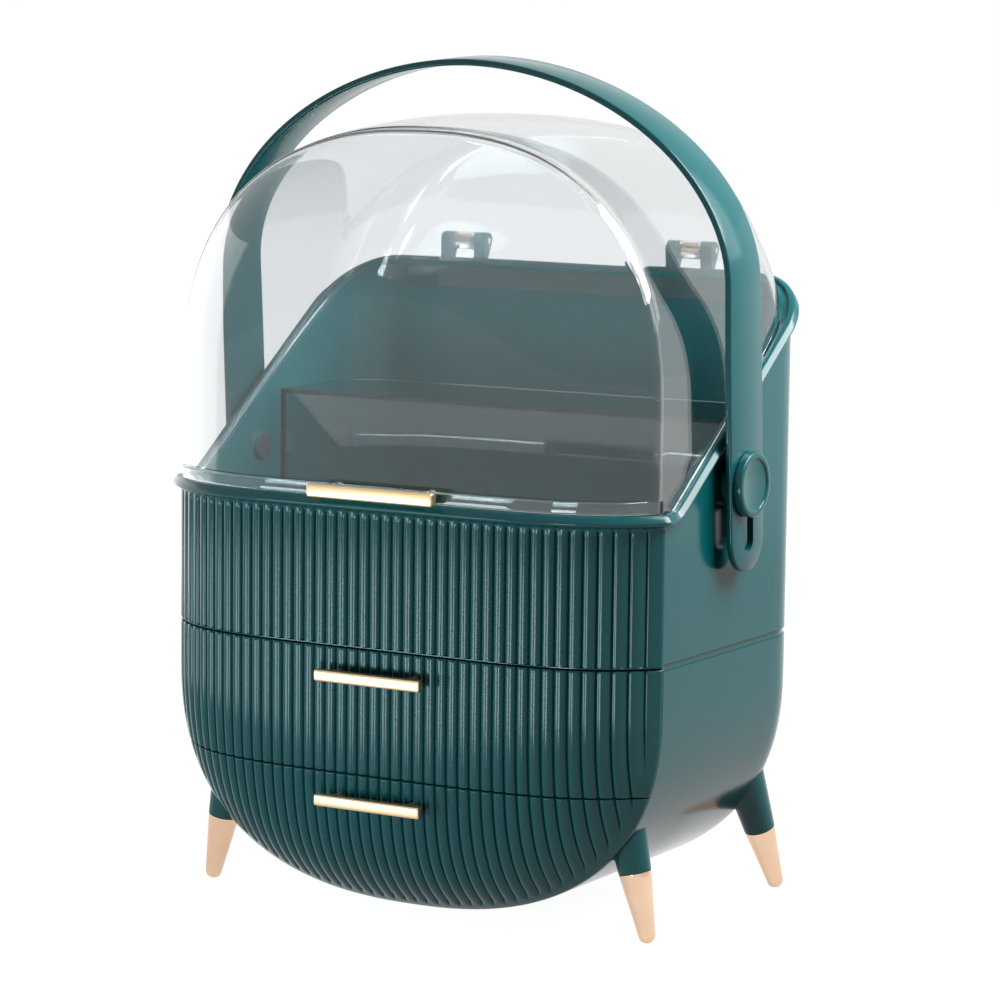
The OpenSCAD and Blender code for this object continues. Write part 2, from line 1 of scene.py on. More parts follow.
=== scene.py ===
# %% [markdown]
# # A fluted cosmetics case with a clear domed lid
#
# The case stands on four splayed legs with plated tips. Its front bulges like a
# pillow and is fluted, its lid is one clear hood, and an arched band is its
# carrying handle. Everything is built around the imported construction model,
# which is loaded first and never moved. Sizes are written in millimetres, as on
# the construction drawing, and turned to metres when a mesh is made.

# %% The construction model
import json
import math

import bmesh
import bpy
import numpy as np
from mathutils import Matrix, Vector


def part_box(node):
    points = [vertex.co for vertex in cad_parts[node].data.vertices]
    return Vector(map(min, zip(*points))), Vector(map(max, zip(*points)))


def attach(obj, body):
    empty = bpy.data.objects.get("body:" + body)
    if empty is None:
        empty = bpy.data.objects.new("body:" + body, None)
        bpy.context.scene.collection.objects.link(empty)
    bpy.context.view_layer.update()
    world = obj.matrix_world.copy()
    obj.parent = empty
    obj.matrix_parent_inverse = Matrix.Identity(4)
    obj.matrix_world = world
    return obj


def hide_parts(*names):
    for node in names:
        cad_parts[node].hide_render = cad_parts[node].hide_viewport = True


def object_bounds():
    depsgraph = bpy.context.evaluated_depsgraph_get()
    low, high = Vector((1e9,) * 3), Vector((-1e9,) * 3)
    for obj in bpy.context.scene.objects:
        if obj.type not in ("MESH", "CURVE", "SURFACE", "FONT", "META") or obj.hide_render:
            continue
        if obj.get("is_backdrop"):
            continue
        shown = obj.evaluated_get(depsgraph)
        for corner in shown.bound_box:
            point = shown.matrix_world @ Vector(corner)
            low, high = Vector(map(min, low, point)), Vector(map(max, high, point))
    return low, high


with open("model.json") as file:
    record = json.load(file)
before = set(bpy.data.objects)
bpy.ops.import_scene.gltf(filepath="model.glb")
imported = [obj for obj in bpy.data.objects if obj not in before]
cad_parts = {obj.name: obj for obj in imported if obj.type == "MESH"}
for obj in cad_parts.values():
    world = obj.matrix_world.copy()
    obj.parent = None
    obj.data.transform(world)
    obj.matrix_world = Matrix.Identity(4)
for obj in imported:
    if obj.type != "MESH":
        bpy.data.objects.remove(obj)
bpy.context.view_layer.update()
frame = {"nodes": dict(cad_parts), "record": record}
MM = 0.001

# %% [markdown]
# ## The camera
#
# A long lens looks at the front and a little of the right side from just above
# the middle. The camera is made first, because every later choice is judged
# through it. Its three directions are written out, so nothing has to be aimed.

# %% Camera
CAMERA_PLACE = (851.197, -1456.178, 396.211)
CAMERA_RIGHT = (0.862667, 0.505641, 0.011503)
CAMERA_UP = (-0.074590, 0.104697, 0.991703)
CAMERA_BACK = (0.500241, -0.856368, 0.128034)
SENSOR = 36.0
LENS = 133.7

camera_data = bpy.data.cameras.new("camera")
camera_data.sensor_width = SENSOR
camera_data.lens = LENS
camera_data.clip_start = 0.05
camera_data.clip_end = 50
camera = bpy.data.objects.new("camera", camera_data)
bpy.context.scene.collection.objects.link(camera)
turned = Matrix((CAMERA_RIGHT, CAMERA_UP, CAMERA_BACK)).transposed().to_4x4()
camera.matrix_world = Matrix.Translation([v * MM for v in CAMERA_PLACE]) @ turned
bpy.context.scene.camera = camera
print("camera", [round(v, 3) for v in camera.location])

# %% [markdown]
# ## Sizes of the real object
#
# The few driving sizes are kept together, in millimetres. X runs to the right,
# Y to the back and Z up, and the origin is on the floor under the middle.

# %% Driving sizes
HALF = 125.0          # half the width over the flat sides
FRONT_EDGE = 74.0     # where the bulging front begins, in front of the origin
BULGE = 29.0          # how far the front bulges
BACK = 67.0           # rear face
CURVE_H = 100.3       # height of the U-shaped bottom
CURVE_Z = 104.7       # where the sides become straight
CURVE_E = 2.4         # fullness of the bottom curve and of the lid's arch
PILLOW_E = 5.4        # flatness of the front's middle
CORNER_R = 30.0       # upright rear corners
TRAY_SEAM = 122.9     # seam between the tray and the upper drawer
DRAWER_SEAM = 66.5    # seam between the two drawers
SEAM_GAP = 0.4        # half of what stays open at the tray's seam
LOWER_GAP = 0.25      # half of what stays open between the drawers
RIM_FRONT = 189.0     # the rim's top at the front
RIM_SLOPE = 0.715     # rise of the rim per millimetre towards the rear
RIM_KNEE = -65.5      # where the rise begins
ARCH_Z = 232.0        # where the lid's arch begins
ARCH_H = 116.8        # height of that arch
LID_IN = 1.6          # the lid's outside lies this far inside the case's
LID_WALL = 2.2        # wall of the lid
WALL = 2.8            # wall of the tray
FRONT_BACK = -73.6    # flat back of the drawer fronts
CASING_FRONT = -73.2  # front edge of the lower casing

# %% [markdown]
# ## Helpers
#
# A surface here is a grid of points worked out with numpy. The helpers below
# turn grids into closed meshes, and one more adds a shader node. Each does one
# thing, so that the pieces themselves stay short.

# %% Grids to meshes
def grid_quads(rows, cols, wrap_rows=False, wrap_cols=False, start=0):
    """Quads between neighbours of a rows x cols grid; a wrapped way closes on itself."""
    r = np.arange(rows if wrap_rows else rows - 1)
    c = np.arange(cols if wrap_cols else cols - 1)
    r, c = np.meshgrid(r, c, indexing="ij")
    r1, c1 = (r + 1) % rows, (c + 1) % cols
    quads = np.stack([r * cols + c, r * cols + c1, r1 * cols + c1, r1 * cols + c], -1)
    return quads.reshape(-1, 4) + start


def walled(outer, inner):
    """Points and quads of a wall: two grids of the same shape, joined along their four edges."""
    rows, cols = outer.shape[:2]
    n = rows * cols
    points = np.concatenate([outer.reshape(-1, 3), inner.reshape(-1, 3)])
    ids = np.arange(n).reshape(rows, cols)
    loop = np.concatenate([ids[0, :-1], ids[:-1, -1], ids[-1, :0:-1], ids[:0:-1, 0]])
    after = np.roll(loop, -1)
    strip = np.stack([loop, loop + n, after + n, after], -1)
    quads = np.concatenate(
        [grid_quads(rows, cols), grid_quads(rows, cols, start=n)[:, ::-1], strip]
    )
    return points, quads


def tube(rings, closed_ends=True):
    """Points and faces of closed rings placed one after another; a flat face shuts each end."""
    rows, cols = rings.shape[:2]
    faces = grid_quads(rows, cols, wrap_cols=True).tolist()
    if closed_ends:
        faces.append(list(range(cols))[::-1])
        faces.append(list(range((rows - 1) * cols, rows * cols)))
    return rings.reshape(-1, 3), faces


def grid_normals(grid):
    """Unit normals: the cross product of the grid's two directions at each point."""
    across = np.gradient(grid, axis=1)
    along = np.gradient(grid, axis=0)
    normal = np.cross(along, across)
    size = np.linalg.norm(normal, axis=-1, keepdims=True)
    return normal / np.maximum(size, 1e-9)


def merged(*parts):
    """Several (points, faces) as one, the later faces counted on."""
    points, faces, start = [], [], 0
    for p, f in parts:
        points.append(np.asarray(p, float).reshape(-1, 3))
        f = f.tolist() if isinstance(f, np.ndarray) else f
        faces += [[i + start for i in face] for face in f]
        start += len(points[-1])
    return np.concatenate(points), faces


def smooth(t):
    """0 to 1 with level ends: 3t^2 - 2t^3."""
    t = np.clip(t, 0, 1)
    return t * t * (3 - 2 * t)


def crowded(count, low=0.0, high=1.0):
    """Steps from low to high that crowd together at both ends: half a cosine wave."""
    return low + (high - low) * (0.5 - 0.5 * np.cos(np.pi * np.linspace(0, 1, count)))


def add_piece(name, shape, body, material, replaces=(), sharp=35.0):
    """A closed mesh from points in mm: doubles merged, faces outwards, smooth to a sharp angle."""
    points, faces = shape
    points = np.asarray(points).reshape(-1, 3) * MM
    mesh = bpy.data.meshes.new(name)
    mesh.from_pydata(points.tolist(), [], [list(f) for f in faces])
    piece = bpy.data.objects.new(name, mesh)
    bpy.context.scene.collection.objects.link(piece)
    work = bmesh.new()
    work.from_mesh(mesh)
    bmesh.ops.remove_doubles(work, verts=work.verts, dist=1e-6)
    bmesh.ops.dissolve_degenerate(work, edges=work.edges, dist=1e-7)
    bmesh.ops.recalc_face_normals(work, faces=work.faces)
    work.to_mesh(mesh)
    work.free()
    mesh.shade_smooth()
    mesh.set_sharp_from_angle(angle=math.radians(sharp))
    mesh.materials.append(material)
    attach(piece, body)
    if replaces:
        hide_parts(*replaces)
    print(f"{name}: {len(mesh.polygons)} faces")
    return piece


# %% Colours and nodes
def colour(text, alpha=1.0):
    """An sRGB hex colour as linear light: c/12.92 below 0.04045, else ((c+0.055)/1.055)^2.4."""
    out = []
    for i in (1, 3, 5):
        c = int(text[i : i + 2], 16) / 255
        out.append(c / 12.92 if c <= 0.04045 else ((c + 0.055) / 1.055) ** 2.4)
    return (*out, alpha)


def add_node(tree, kind, inputs=None, **settings):
    """Adds one shader node, sets its properties, and fills or links its inputs."""
    made = tree.nodes.new(kind)
    for key, value in settings.items():
        setattr(made, key, value)
    for key, value in (inputs or {}).items():
        if isinstance(value, bpy.types.NodeSocket):
            tree.links.new(value, made.inputs[key])
        else:
            made.inputs[key].default_value = value
    return made


def new_material(name):
    """An empty node material and its tree."""
    material = bpy.data.materials.new(name)
    material.use_nodes = True
    material.node_tree.nodes.clear()
    return material, material.node_tree


# %% [markdown]
# ## Finishes
#
# Six real finishes make up the case: polished ABS in deep green, the satin ABS of
# the inner boxes, clear acrylic, bright champagne plating on the tips of the legs,
# satin champagne plating on the bars, and zinc-plated screws. Each starts from
# what the real one is. The room is white all round, so a full gloss would wash the
# dark green out. Its gloss is therefore kept low, and the low windows in front
# draw the bright lines on the flutes.

# %% Moulded green ABS
CLOUD_SIZE = 60       # mm across one cloud of slightly deeper colour


def moulded_abs(name, base, shade, roughness, texture_mm, depth, gloss):
    """ABS from a steel mould: one colour with a faint cloudiness, and a fine skin.

    The skin's grain on a real mould is a few hundredths of a millimetre. It is
    drawn about a millimetre wide, as coarse as it needs to be to show.
    """
    material, tree = new_material(name)
    place = add_node(tree, "ShaderNodeTexCoord").outputs["Object"]
    cloud = add_node(
        tree, "ShaderNodeTexNoise", {"Vector": place, "Scale": 1 / (CLOUD_SIZE * MM), "Detail": 2.0}
    )
    tint = add_node(
        tree,
        "ShaderNodeMix",
        {"Factor": cloud.outputs["Fac"], "A": colour(base), "B": colour(shade)},
        data_type="RGBA",
    )
    skin = add_node(
        tree,
        "ShaderNodeTexNoise",
        {"Vector": place, "Scale": 1 / (texture_mm * MM), "Detail": 3.0, "Roughness": 0.6},
    )
    dull = add_node(
        tree,
        "ShaderNodeMapRange",
        {"Value": skin.outputs["Fac"], "To Min": roughness - 0.04, "To Max": roughness + 0.04},
    )
    bump = add_node(
        tree,
        "ShaderNodeBump",
        {"Height": skin.outputs["Fac"], "Strength": 0.25, "Distance": depth * MM},
    )
    shader = add_node(
        tree,
        "ShaderNodeBsdfPrincipled",
        {
            "Base Color": tint.outputs["Result"],
            "Roughness": dull.outputs["Result"],
            "IOR": 1.54,
            "Specular IOR Level": gloss,
            "Normal": bump.outputs["Normal"],
        },
    )
    add_node(tree, "ShaderNodeOutputMaterial", {"Surface": shader.outputs["BSDF"]})
    return material


# The outer pieces come from a polished mould, the inner boxes from a plainer one.
green_abs = moulded_abs("moulded_green_abs", "#064a4d", "#054548", 0.15, 1.2, 0.003, 0.2)
inner_abs = moulded_abs("satin_green_abs", "#125355", "#104d50", 0.42, 0.8, 0.006, 0.25)


# %% Clear acrylic
def polished_acrylic(name, tint, roughness, density):
    """Cast acrylic, flame-polished: IOR 1.49, and lamps reach what stands behind it."""
    material, tree = new_material(name)
    glass = add_node(
        tree,
        "ShaderNodeBsdfPrincipled",
        {
            "Base Color": colour(tint),
            "Roughness": roughness,
            "IOR": 1.49,
            "Transmission Weight": 1.0,
        },
    )
    path = add_node(tree, "ShaderNodeLightPath")
    open_air = add_node(tree, "ShaderNodeBsdfTransparent", {"Color": colour(tint)})
    mix = add_node(
        tree,
        "ShaderNodeMixShader",
        {0: path.outputs["Is Shadow Ray"], 1: glass.outputs["BSDF"], 2: open_air.outputs["BSDF"]},
    )
    depth = add_node(
        tree, "ShaderNodeVolumeAbsorption", {"Color": colour("#b9bcbe"), "Density": density}
    )
    add_node(
        tree,
        "ShaderNodeOutputMaterial",
        {"Surface": mix.outputs["Shader"], "Volume": depth.outputs["Volume"]},
    )
    return material


clear_acrylic = polished_acrylic("polished_clear_acrylic", "#f3f5f6", 0.02, 30.0)


# %% Plated and bare metal
PATCH_SIZE = 12       # mm across one patch of deeper plating


def plated_metal(name, base, shade, roughness):
    """Vacuum-plated metal: a bright skin whose colour deepens a little in broad patches."""
    material, tree = new_material(name)
    place = add_node(tree, "ShaderNodeTexCoord").outputs["Object"]
    patch = add_node(
        tree, "ShaderNodeTexNoise", {"Vector": place, "Scale": 1 / (PATCH_SIZE * MM), "Detail": 1.0}
    )
    tint = add_node(
        tree,
        "ShaderNodeMix",
        {"Factor": patch.outputs["Fac"], "A": colour(base), "B": colour(shade)},
        data_type="RGBA",
    )
    dull = add_node(
        tree,
        "ShaderNodeMapRange",
        {"Value": patch.outputs["Fac"], "To Min": roughness - 0.03, "To Max": roughness + 0.03},
    )
    shader = add_node(
        tree,
        "ShaderNodeBsdfPrincipled",
        {
            "Base Color": tint.outputs["Result"],
            "Metallic": 1.0,
            "Roughness": dull.outputs["Result"],
        },
    )
    add_node(tree, "ShaderNodeOutputMaterial", {"Surface": shader.outputs["BSDF"]})
    return material


# The tips of the legs have a bright plating, the bars a satin one.
champagne_gold = plated_metal("champagne_gold_plating", "#dfbfa5", "#d2ae92", 0.08)
champagne_satin = plated_metal("champagne_gold_satin", "#dcbd97", "#d0b089", 0.32)
zinc_steel = plated_metal("zinc_plated_steel", "#c9ccd0", "#b9bdc2", 0.28)
print("materials", [m.name for m in bpy.data.materials])

# %% [markdown]
# ## The fluted front
#
# Seen from the front, the case is a tall tub: straight sides and a bottom shaped
# like a full ellipse. A point's *level* says how near it is to that outline, 0 in
# the middle and 1 on it, and the bulge falls off with a high power of the level,
# so the middle is nearly flat and the edge turns quickly. The flutes are upright
# half-rounds cut into that bulge. The grid's columns stand on the flutes, so that
# every crest and every groove has its own line of points.

# %% The bulge and its flutes
FLUTES = 42
FLUTE_PITCH = 5.69
FLUTE_DEPTH = 2.2
EDGE_R = 3.0          # rounding where the front turns into the side
ARC_LEAD = 0.356      # how far behind the front's edge the arc starts, as a share of its radius
ARC_REACH = 0.225     # how far in from the outline the arc rules, as a share of its radius
EDGE_LEAD = ARC_LEAD * EDGE_R - (FRONT_BACK + FRONT_EDGE)


def case_level(x, z):
    """((|x|/half width)^e + (rise/height)^e)^(1/e), the rise counted from the straight part."""
    rise = np.maximum(CURVE_Z - z, 0) / CURVE_H
    return ((np.abs(x) / HALF) ** CURVE_E + rise**CURVE_E) ** (1 / CURVE_E)


def pillow_y(level):
    """Bulge: edge + depth * (1 - level^power), and a circle's arc close to the edge."""
    edge = FRONT_EDGE + EDGE_LEAD
    depth = BULGE - EDGE_LEAD
    y = -edge - depth * (1 - np.minimum(level, 1) ** PILLOW_E)
    s = (1 - np.minimum(level, 1)) * HALF
    arc = -edge + ARC_LEAD * EDGE_R - np.sqrt(np.maximum(EDGE_R**2 - (EDGE_R - s) ** 2, 0))
    return np.where(s < ARC_REACH * EDGE_R, arc, y)


def flute_cut(x, level):
    """Depth of the flutes: half an ellipse, 1 - sqrt(1 - u^2), faded out near the outline."""
    u = 2 * np.abs(x / FLUTE_PITCH - np.floor(x / FLUTE_PITCH) - 0.5)
    cut = (1 - np.sqrt(1 - (0.97 * u) ** 2)) / (1 - math.sqrt(1 - 0.97**2))
    s = (1 - np.minimum(level, 1)) * HALF
    return FLUTE_DEPTH * cut * smooth((s - 2.0) / 4.5)


def flute_columns(end):
    """Columns across the front: ten on each flute, and crowded towards the ends."""
    share = np.array([0, 0.025, 0.07, 0.15, 0.3, 0.5, 0.7, 0.85, 0.93, 0.975])
    zone = FLUTES / 2 * FLUTE_PITCH
    inner = (np.arange(FLUTES)[:, None] + share).ravel() * FLUTE_PITCH - zone
    inner = np.append(inner, zone)
    inner = inner[np.abs(inner) < end - 0.3]
    first = inner[-1]
    outer = first + (end - first) * np.sin(np.linspace(0, np.pi / 2, 30))[1:]
    return np.concatenate([-outer[::-1], inner, outer])


def drawer_front(z_low, z_high, rows):
    """A drawer front: the fluted bulge between two seams, and a flat back that meets its sides."""
    rise = max(CURVE_Z - z_high, 0) / CURVE_H
    end = HALF * (1 - rise**CURVE_E) ** (1 / CURVE_E)
    x = flute_columns(end)
    drop = CURVE_H * np.maximum(1 - (np.abs(x) / HALF) ** CURVE_E, 0) ** (1 / CURVE_E)
    bottom = np.minimum(np.maximum(CURVE_Z - drop, z_low), z_high)
    x, v = np.meshgrid(x, crowded(rows), indexing="ij")
    z = bottom[:, None] + (z_high - bottom[:, None]) * v
    level = case_level(x, z)
    soft = 0.7
    near = np.minimum(z_high - z, np.where(z_low > CURVE_Z - CURVE_H + 1, z - z_low, soft))
    setback = soft - np.sqrt(np.maximum(soft**2 - np.maximum(soft - near, 0) ** 2, 0))
    y = np.minimum(pillow_y(level) + flute_cut(x, level) + setback, FRONT_BACK)
    return walled(np.stack([x, y, z], -1), np.stack([x, np.full_like(x, FRONT_BACK), z], -1))


add_piece(
    "upper_drawer_fluted_front",
    drawer_front(DRAWER_SEAM + LOWER_GAP, TRAY_SEAM - SEAM_GAP, 34),
    "upper_drawer",
    green_abs,
    ["upper_drawer_front"],
)
add_piece(
    "lower_drawer_fluted_front",
    drawer_front(CURVE_Z - CURVE_H + 0.2, DRAWER_SEAM - LOWER_GAP, 70),
    "lower_drawer",
    green_abs,
    ["lower_drawer_front"],
)

# %% [markdown]
# ## The tray
#
# The tray is one moulding: a wall that follows the case's outline seen from
# above, level at the front and rising steeply along the sides, with a rounded
# lip. Its wall is a profile carried round that outline. The profile goes up the
# outside, over the lip, along the ledge that carries the lid, and down inside.

# %% Tray wall and lip
SIDE_GROOVE = 1.0
GROOVE_TOP = 124.4
CASING_TOP = 121.4
TRAY_FLOOR = 125.8
# The lip's section, from the wall outwards and over: (offset outwards, drop below the rim).
LIP_PROFILE = [
    (0.35, 5.6), (1.2, 5.0), (2.4, 4.6), (3.1, 4.2), (3.42, 3.7), (3.5, 3.2), (3.42, 2.8),
    (3.25, 2.5), (1.95, 0.62), (1.65, 0.28), (1.2, 0.08), (0.7, 0.0), (-0.7, 0.0),
    (-1.1, 0.15), (-1.3, 0.6),
]
# The lid's seat: (offset outwards, drop below the rim, room). Where room is given, the seat
# ends that far outside a line 2 mm within the lid's wall.
SEAT_PROFILE = [
    (-1.3, 1.9, None), (-1.5, 2.0, None), (-5.6, 2.0, 0.2), (-5.8, 2.2, 0.0),
    (-5.8, 3.8, 0.0), (-5.6, 4.0, 0.2),
]
SEAT_FOOT = 4.2       # below the seat the wall starts this far under the rim


def rim_height(y):
    """Level, then a straight rise behind the knee, the bend softened: (d + sqrt(d^2 + c^2)) / 2."""
    d = y - RIM_KNEE
    return RIM_FRONT + RIM_SLOPE * 0.5 * (d + np.sqrt(d * d + 9.0)) - RIM_SLOPE * 0.1


def case_plan():
    """The case's outline from above, anticlockwise from the front left, and its outward normals."""
    x = flute_columns(HALF)
    front = np.stack([x, pillow_y(np.abs(x) / HALF)], -1)
    side = np.concatenate([
        np.linspace(FRONT_BACK, -50, 20)[1:],
        np.linspace(-50, BACK - CORNER_R, 14)[1:],
    ])
    turn = np.linspace(0, np.pi / 2, 16)[1:]
    corner = np.stack(
        [HALF - CORNER_R * (1 - np.cos(turn)), BACK - CORNER_R * (1 - np.sin(turn))], -1
    )
    rear = np.stack([np.linspace(HALF - CORNER_R, 0, 12)[1:], np.full(11, BACK)], -1)
    right = np.concatenate([np.stack([np.full_like(side, HALF), side], -1), corner, rear])
    left = right[-2::-1] * (-1, 1)
    plan = np.concatenate([front, right, left])
    step = np.roll(plan, -1, 0) - np.roll(plan, 1, 0)
    normal = np.stack([step[:, 1], -step[:, 0]], -1)
    return plan, normal / np.linalg.norm(normal, axis=1, keepdims=True)


def lid_half(z, inset):
    """Half width of the lid's arch at a height: half * (1 - (rise/height)^e)^(1/e)."""
    rise = np.clip((z - ARCH_Z) / (ARCH_H + LID_IN - inset), 0, 1)
    return (HALF - inset) * (1 - rise**CURVE_E) ** (1 / CURVE_E)


def tray_wall():
    """The tray's wall: for each place on the plan, a closed loop of (offset outwards, height)."""
    plan, normal = case_plan()
    x, y = plan.T
    rim = rim_height(y)
    front = (y < FRONT_BACK + 0.01).astype(float)
    low = np.where(front > 0, TRAY_SEAM + SEAM_GAP, CASING_TOP)
    step = np.where(front > 0, low + 0.5, GROOVE_TOP)
    groove = np.where(front > 0, 0.4, SIDE_GROOVE)
    wall_top = rim - 6.0
    rows = []

    def row(offset, z, shift=0.0, limit=None):
        p = plan + normal * np.broadcast_to(offset, x.shape)[:, None]
        px, py = p[:, 0], p[:, 1] + shift
        if limit is not None:
            px = np.sign(px) * np.minimum(np.abs(px), limit)
        rows.append(np.stack([px, py, np.broadcast_to(z, x.shape)], -1))

    row(-groove, low)
    row(-groove, step - 0.15)
    row(-groove * 0.3, step)
    level = np.where(front > 0, np.abs(x) / HALF, 1.0)
    for v in crowded(22):
        z = step + 0.25 + (wall_top - step - 0.25) * v
        fade = smooth((wall_top - z) / 0.9) * smooth((z - step + 1.5) / 1.5)
        row(0, z, flute_cut(x, level) * fade * front)
    for offset, drop in LIP_PROFILE:
        row(offset, rim - drop)
    inside = lid_half(rim - 2, LID_IN + LID_WALL + 2)
    for offset, drop, room in SEAT_PROFILE:
        row(offset, rim - drop, limit=None if room is None else inside + room)
    row(-WALL, rim - SEAT_FOOT)
    for v in np.linspace(0, 1, 6)[1:]:
        row(-WALL, rim - SEAT_FOOT + (low - rim + SEAT_FOOT) * v)
    rings = np.stack(rows, 1)
    points = rings.reshape(-1, 3)
    return points, grid_quads(rings.shape[0], rings.shape[1], wrap_rows=True, wrap_cols=True)


def tray_floor():
    """A flat plate with the tray's inner outline."""
    plan, normal = case_plan()
    inner = (plan - normal * (WALL - 0.2))[::4]
    heights = (TRAY_SEAM + 1.0, TRAY_FLOOR)
    return tube(np.stack([np.column_stack([inner, np.full(len(inner), z)]) for z in heights]))


# %% Hinge leaves
HINGE_X, HINGE_W = 60.0, 24.0
HINGE_Y, HINGE_Z = BACK + 3.5, 291.94
KNUCKLE_R = 3.98


def hinge_leaf(x0, x1, root):
    """A half circle over its root points in the YZ plane, carried along X with eased ends."""
    a = np.linspace(0, np.pi, 21)
    arc = np.stack([HINGE_Y + KNUCKLE_R * np.cos(a), HINGE_Z + KNUCKLE_R * np.sin(a)], -1)
    outline = np.concatenate([arc, np.array(root, float)])
    middle = outline.mean(0)
    rings = []
    for x, size in ((x0, 0.93), (x0 + 0.25, 1), (x1 - 0.25, 1), (x1, 0.93)):
        ring = middle + (outline - middle) * size
        rings.append(np.column_stack([np.full(len(ring), x), ring]))
    return tube(np.stack(rings))


ear_foot = float(rim_height(BACK)) - 1.5
ears = []
for side in (-1, 1):
    for x0 in (side * HINGE_X - HINGE_W / 2, side * HINGE_X + HINGE_W / 4):
        ears.append(hinge_leaf(x0, x0 + HINGE_W / 4, [(BACK, ear_foot), (BACK + 2.9, ear_foot)]))
add_piece(
    "tray",
    merged(tray_wall(), tray_floor(), *ears),
    "case",
    green_abs,
    ["upper_tray"],
    sharp=40,
)

# %% [markdown]
# ## The lower casing
#
# The drawers run in a tub that is open at the front. Seen from the front it is
# the same tall U; towards the rear it draws in like the rim of a pan, so that no
# sharp edge is left. The outline is carried from front to back, drawn in by a
# quarter circle, and closed towards the middle of the rear wall. A second,
# smaller tub inside gives the wall its thickness.

# %% Casing tub
CASING_WALL = 2.5
RAIL_X, RAIL_Z = 56, 19.6             # lower rails, to each side and up
RAIL_FEET = (8.7, 6.4)                # how deep a rail's inner and outer foot reach
RAIL_END = 44                         # the rails stop here, where the tub draws in
SHELF_BAR = ((-3, -70.2, 63.5), (3, 30, 66))
SHELF_BAR_X = 115                     # bars that carry the shelf, to each side
BOSS_X, BOSS_YS, BOSS_R, BOSS_DEPTH = 119, (-50, 30), 4, 24


def tub(inset, front, back, top, radius):
    """The U outline at stations from front to back, drawn in at the rear, closed to the middle."""
    t = np.linspace(0, np.pi, 73)
    cos, sin = np.cos(t), np.sin(t)
    power = 2 / CURVE_E
    ux, uz = np.sign(cos) * np.abs(cos) ** power, np.maximum(sin, 0) ** power
    straight = np.linspace(top, CURVE_Z, 4)[:-1]
    turn = np.linspace(0, np.pi / 2, 14)
    along = np.linspace(front, back - radius, 16)[:-1]
    y = np.concatenate([along, back - radius + radius * np.sin(turn)])
    draw = np.concatenate([np.zeros(15), radius * (1 - np.cos(turn))]) + inset
    half = HALF - draw[:, None]
    wall = half * np.ones_like(straight)
    x = np.concatenate([wall, half * ux, -wall], 1)
    down = CURVE_Z - (CURVE_H - draw[:, None]) * uz
    upright = np.tile(straight, (len(y), 1))
    z = np.concatenate([upright, down, upright[:, ::-1]], 1)
    grid = np.stack([x, np.broadcast_to(y[:, None], x.shape), z], -1)
    middle = np.array([0, back, top])
    share = np.linspace(1, 0, 9)[1:, None, None]
    return np.concatenate([grid, middle + (grid[-1] - middle) * share])


def rail(x, base, depth, y0, y1):
    """A guide rail: a flat bar with two lips, its left and right foot going down to two depths."""
    half, lip, wall = 4.0, 2.0, 1.2
    left, right = depth
    inner = half - wall
    outline = np.array([
        (-half, -left), (half, -right), (half, lip), (inner, lip),
        (inner, 0), (-inner, 0), (-inner, lip), (-half, lip),
    ])
    across, up = x + outline[:, 0], base + outline[:, 1]
    return tube(np.stack([np.column_stack([across, np.full(8, y), up]) for y in (y0, y1)]))


def box_bar(low, high):
    """A plain bar between two corners, as two rings of four points."""
    (x0, y0, z0), (x1, y1, z1) = low, high
    ring = [(x0, z0), (x1, z0), (x1, z1), (x0, z1)]
    return tube(np.array([[(x, y, z) for x, z in ring] for y in (y0, y1)]))


def pillar(x, y, z0, z1, radius):
    """An upright round post."""
    t = np.linspace(0, 2 * np.pi, 33)[:-1]
    ring = np.column_stack([x + radius * np.cos(t), y + radius * np.sin(t)])
    return tube(np.stack([np.column_stack([ring, np.full(32, z)]) for z in (z0, z1)]))


casing_parts = [
    walled(
        tub(0, CASING_FRONT, BACK, CASING_TOP, CORNER_R),
        tub(CASING_WALL, CASING_FRONT, BACK - CASING_WALL, CASING_TOP, CORNER_R - CASING_WALL),
    )
]
for side in (-1, 1):
    casing_parts.append(rail(side * RAIL_X, RAIL_Z, RAIL_FEET[::side], CASING_FRONT + 1, RAIL_END))
    low, high = ((side * SHELF_BAR_X + x, y, z) for x, y, z in SHELF_BAR)
    casing_parts.append(box_bar(low, high))
    for y in BOSS_YS:
        casing_parts.append(pillar(side * BOSS_X, y, CASING_TOP - BOSS_DEPTH, CASING_TOP, BOSS_R))


# %% [markdown]
# ## Legs and plated tips
#
# Each leg is moulded with the casing and leans outwards. It is a turned shape:
# a radius for every distance along a tilted axis, up to a place inside the
# casing's wall. The plated tip is turned round the same axis, with a rounded end
# that is flattened where it meets the floor.

# %% Turned shapes
LEG_LENGTHS = {"front": 49.5, "rear": 61.0}
LEG_R = 7.25          # radius where the leg meets its plated tip
LEG_TAPER = 0.081     # how fast the leg widens above it
FERRULE_LENGTH = 28.0
TIP_R = 3.85
TIP_Z = TIP_R - 0.4   # the ball's middle: its lowest 0.4 mm is flattened at the floor
LEG_PLACES = {
    "front_left": (-114, -63.5, (6, -0.5, 27)),
    "front_right": (114, -63.5, (-6, -0.5, 27)),
    "rear_left": (-114, 62, (4, -10, 27)),
    "rear_right": (114, 62, (-4, -10, 27)),
}


def turned_shape(profile, start, direction, count=48):
    """A profile of (distance along the axis, radius) turned round an axis; both ends shut on it."""
    axis = np.array(direction, float) / np.linalg.norm(direction)
    side = np.cross(axis, (0.0, 1.0, 0.0))
    side /= np.linalg.norm(side)
    other = np.cross(axis, side)
    t = np.linspace(0, 2 * np.pi, count + 1)[:-1]
    round_ = np.cos(t)[:, None] * side + np.sin(t)[:, None] * other
    along, radius = np.array(profile, float).T
    rings = np.array(start, float) + along[:, None, None] * axis + radius[:, None, None] * round_
    return tube(rings)


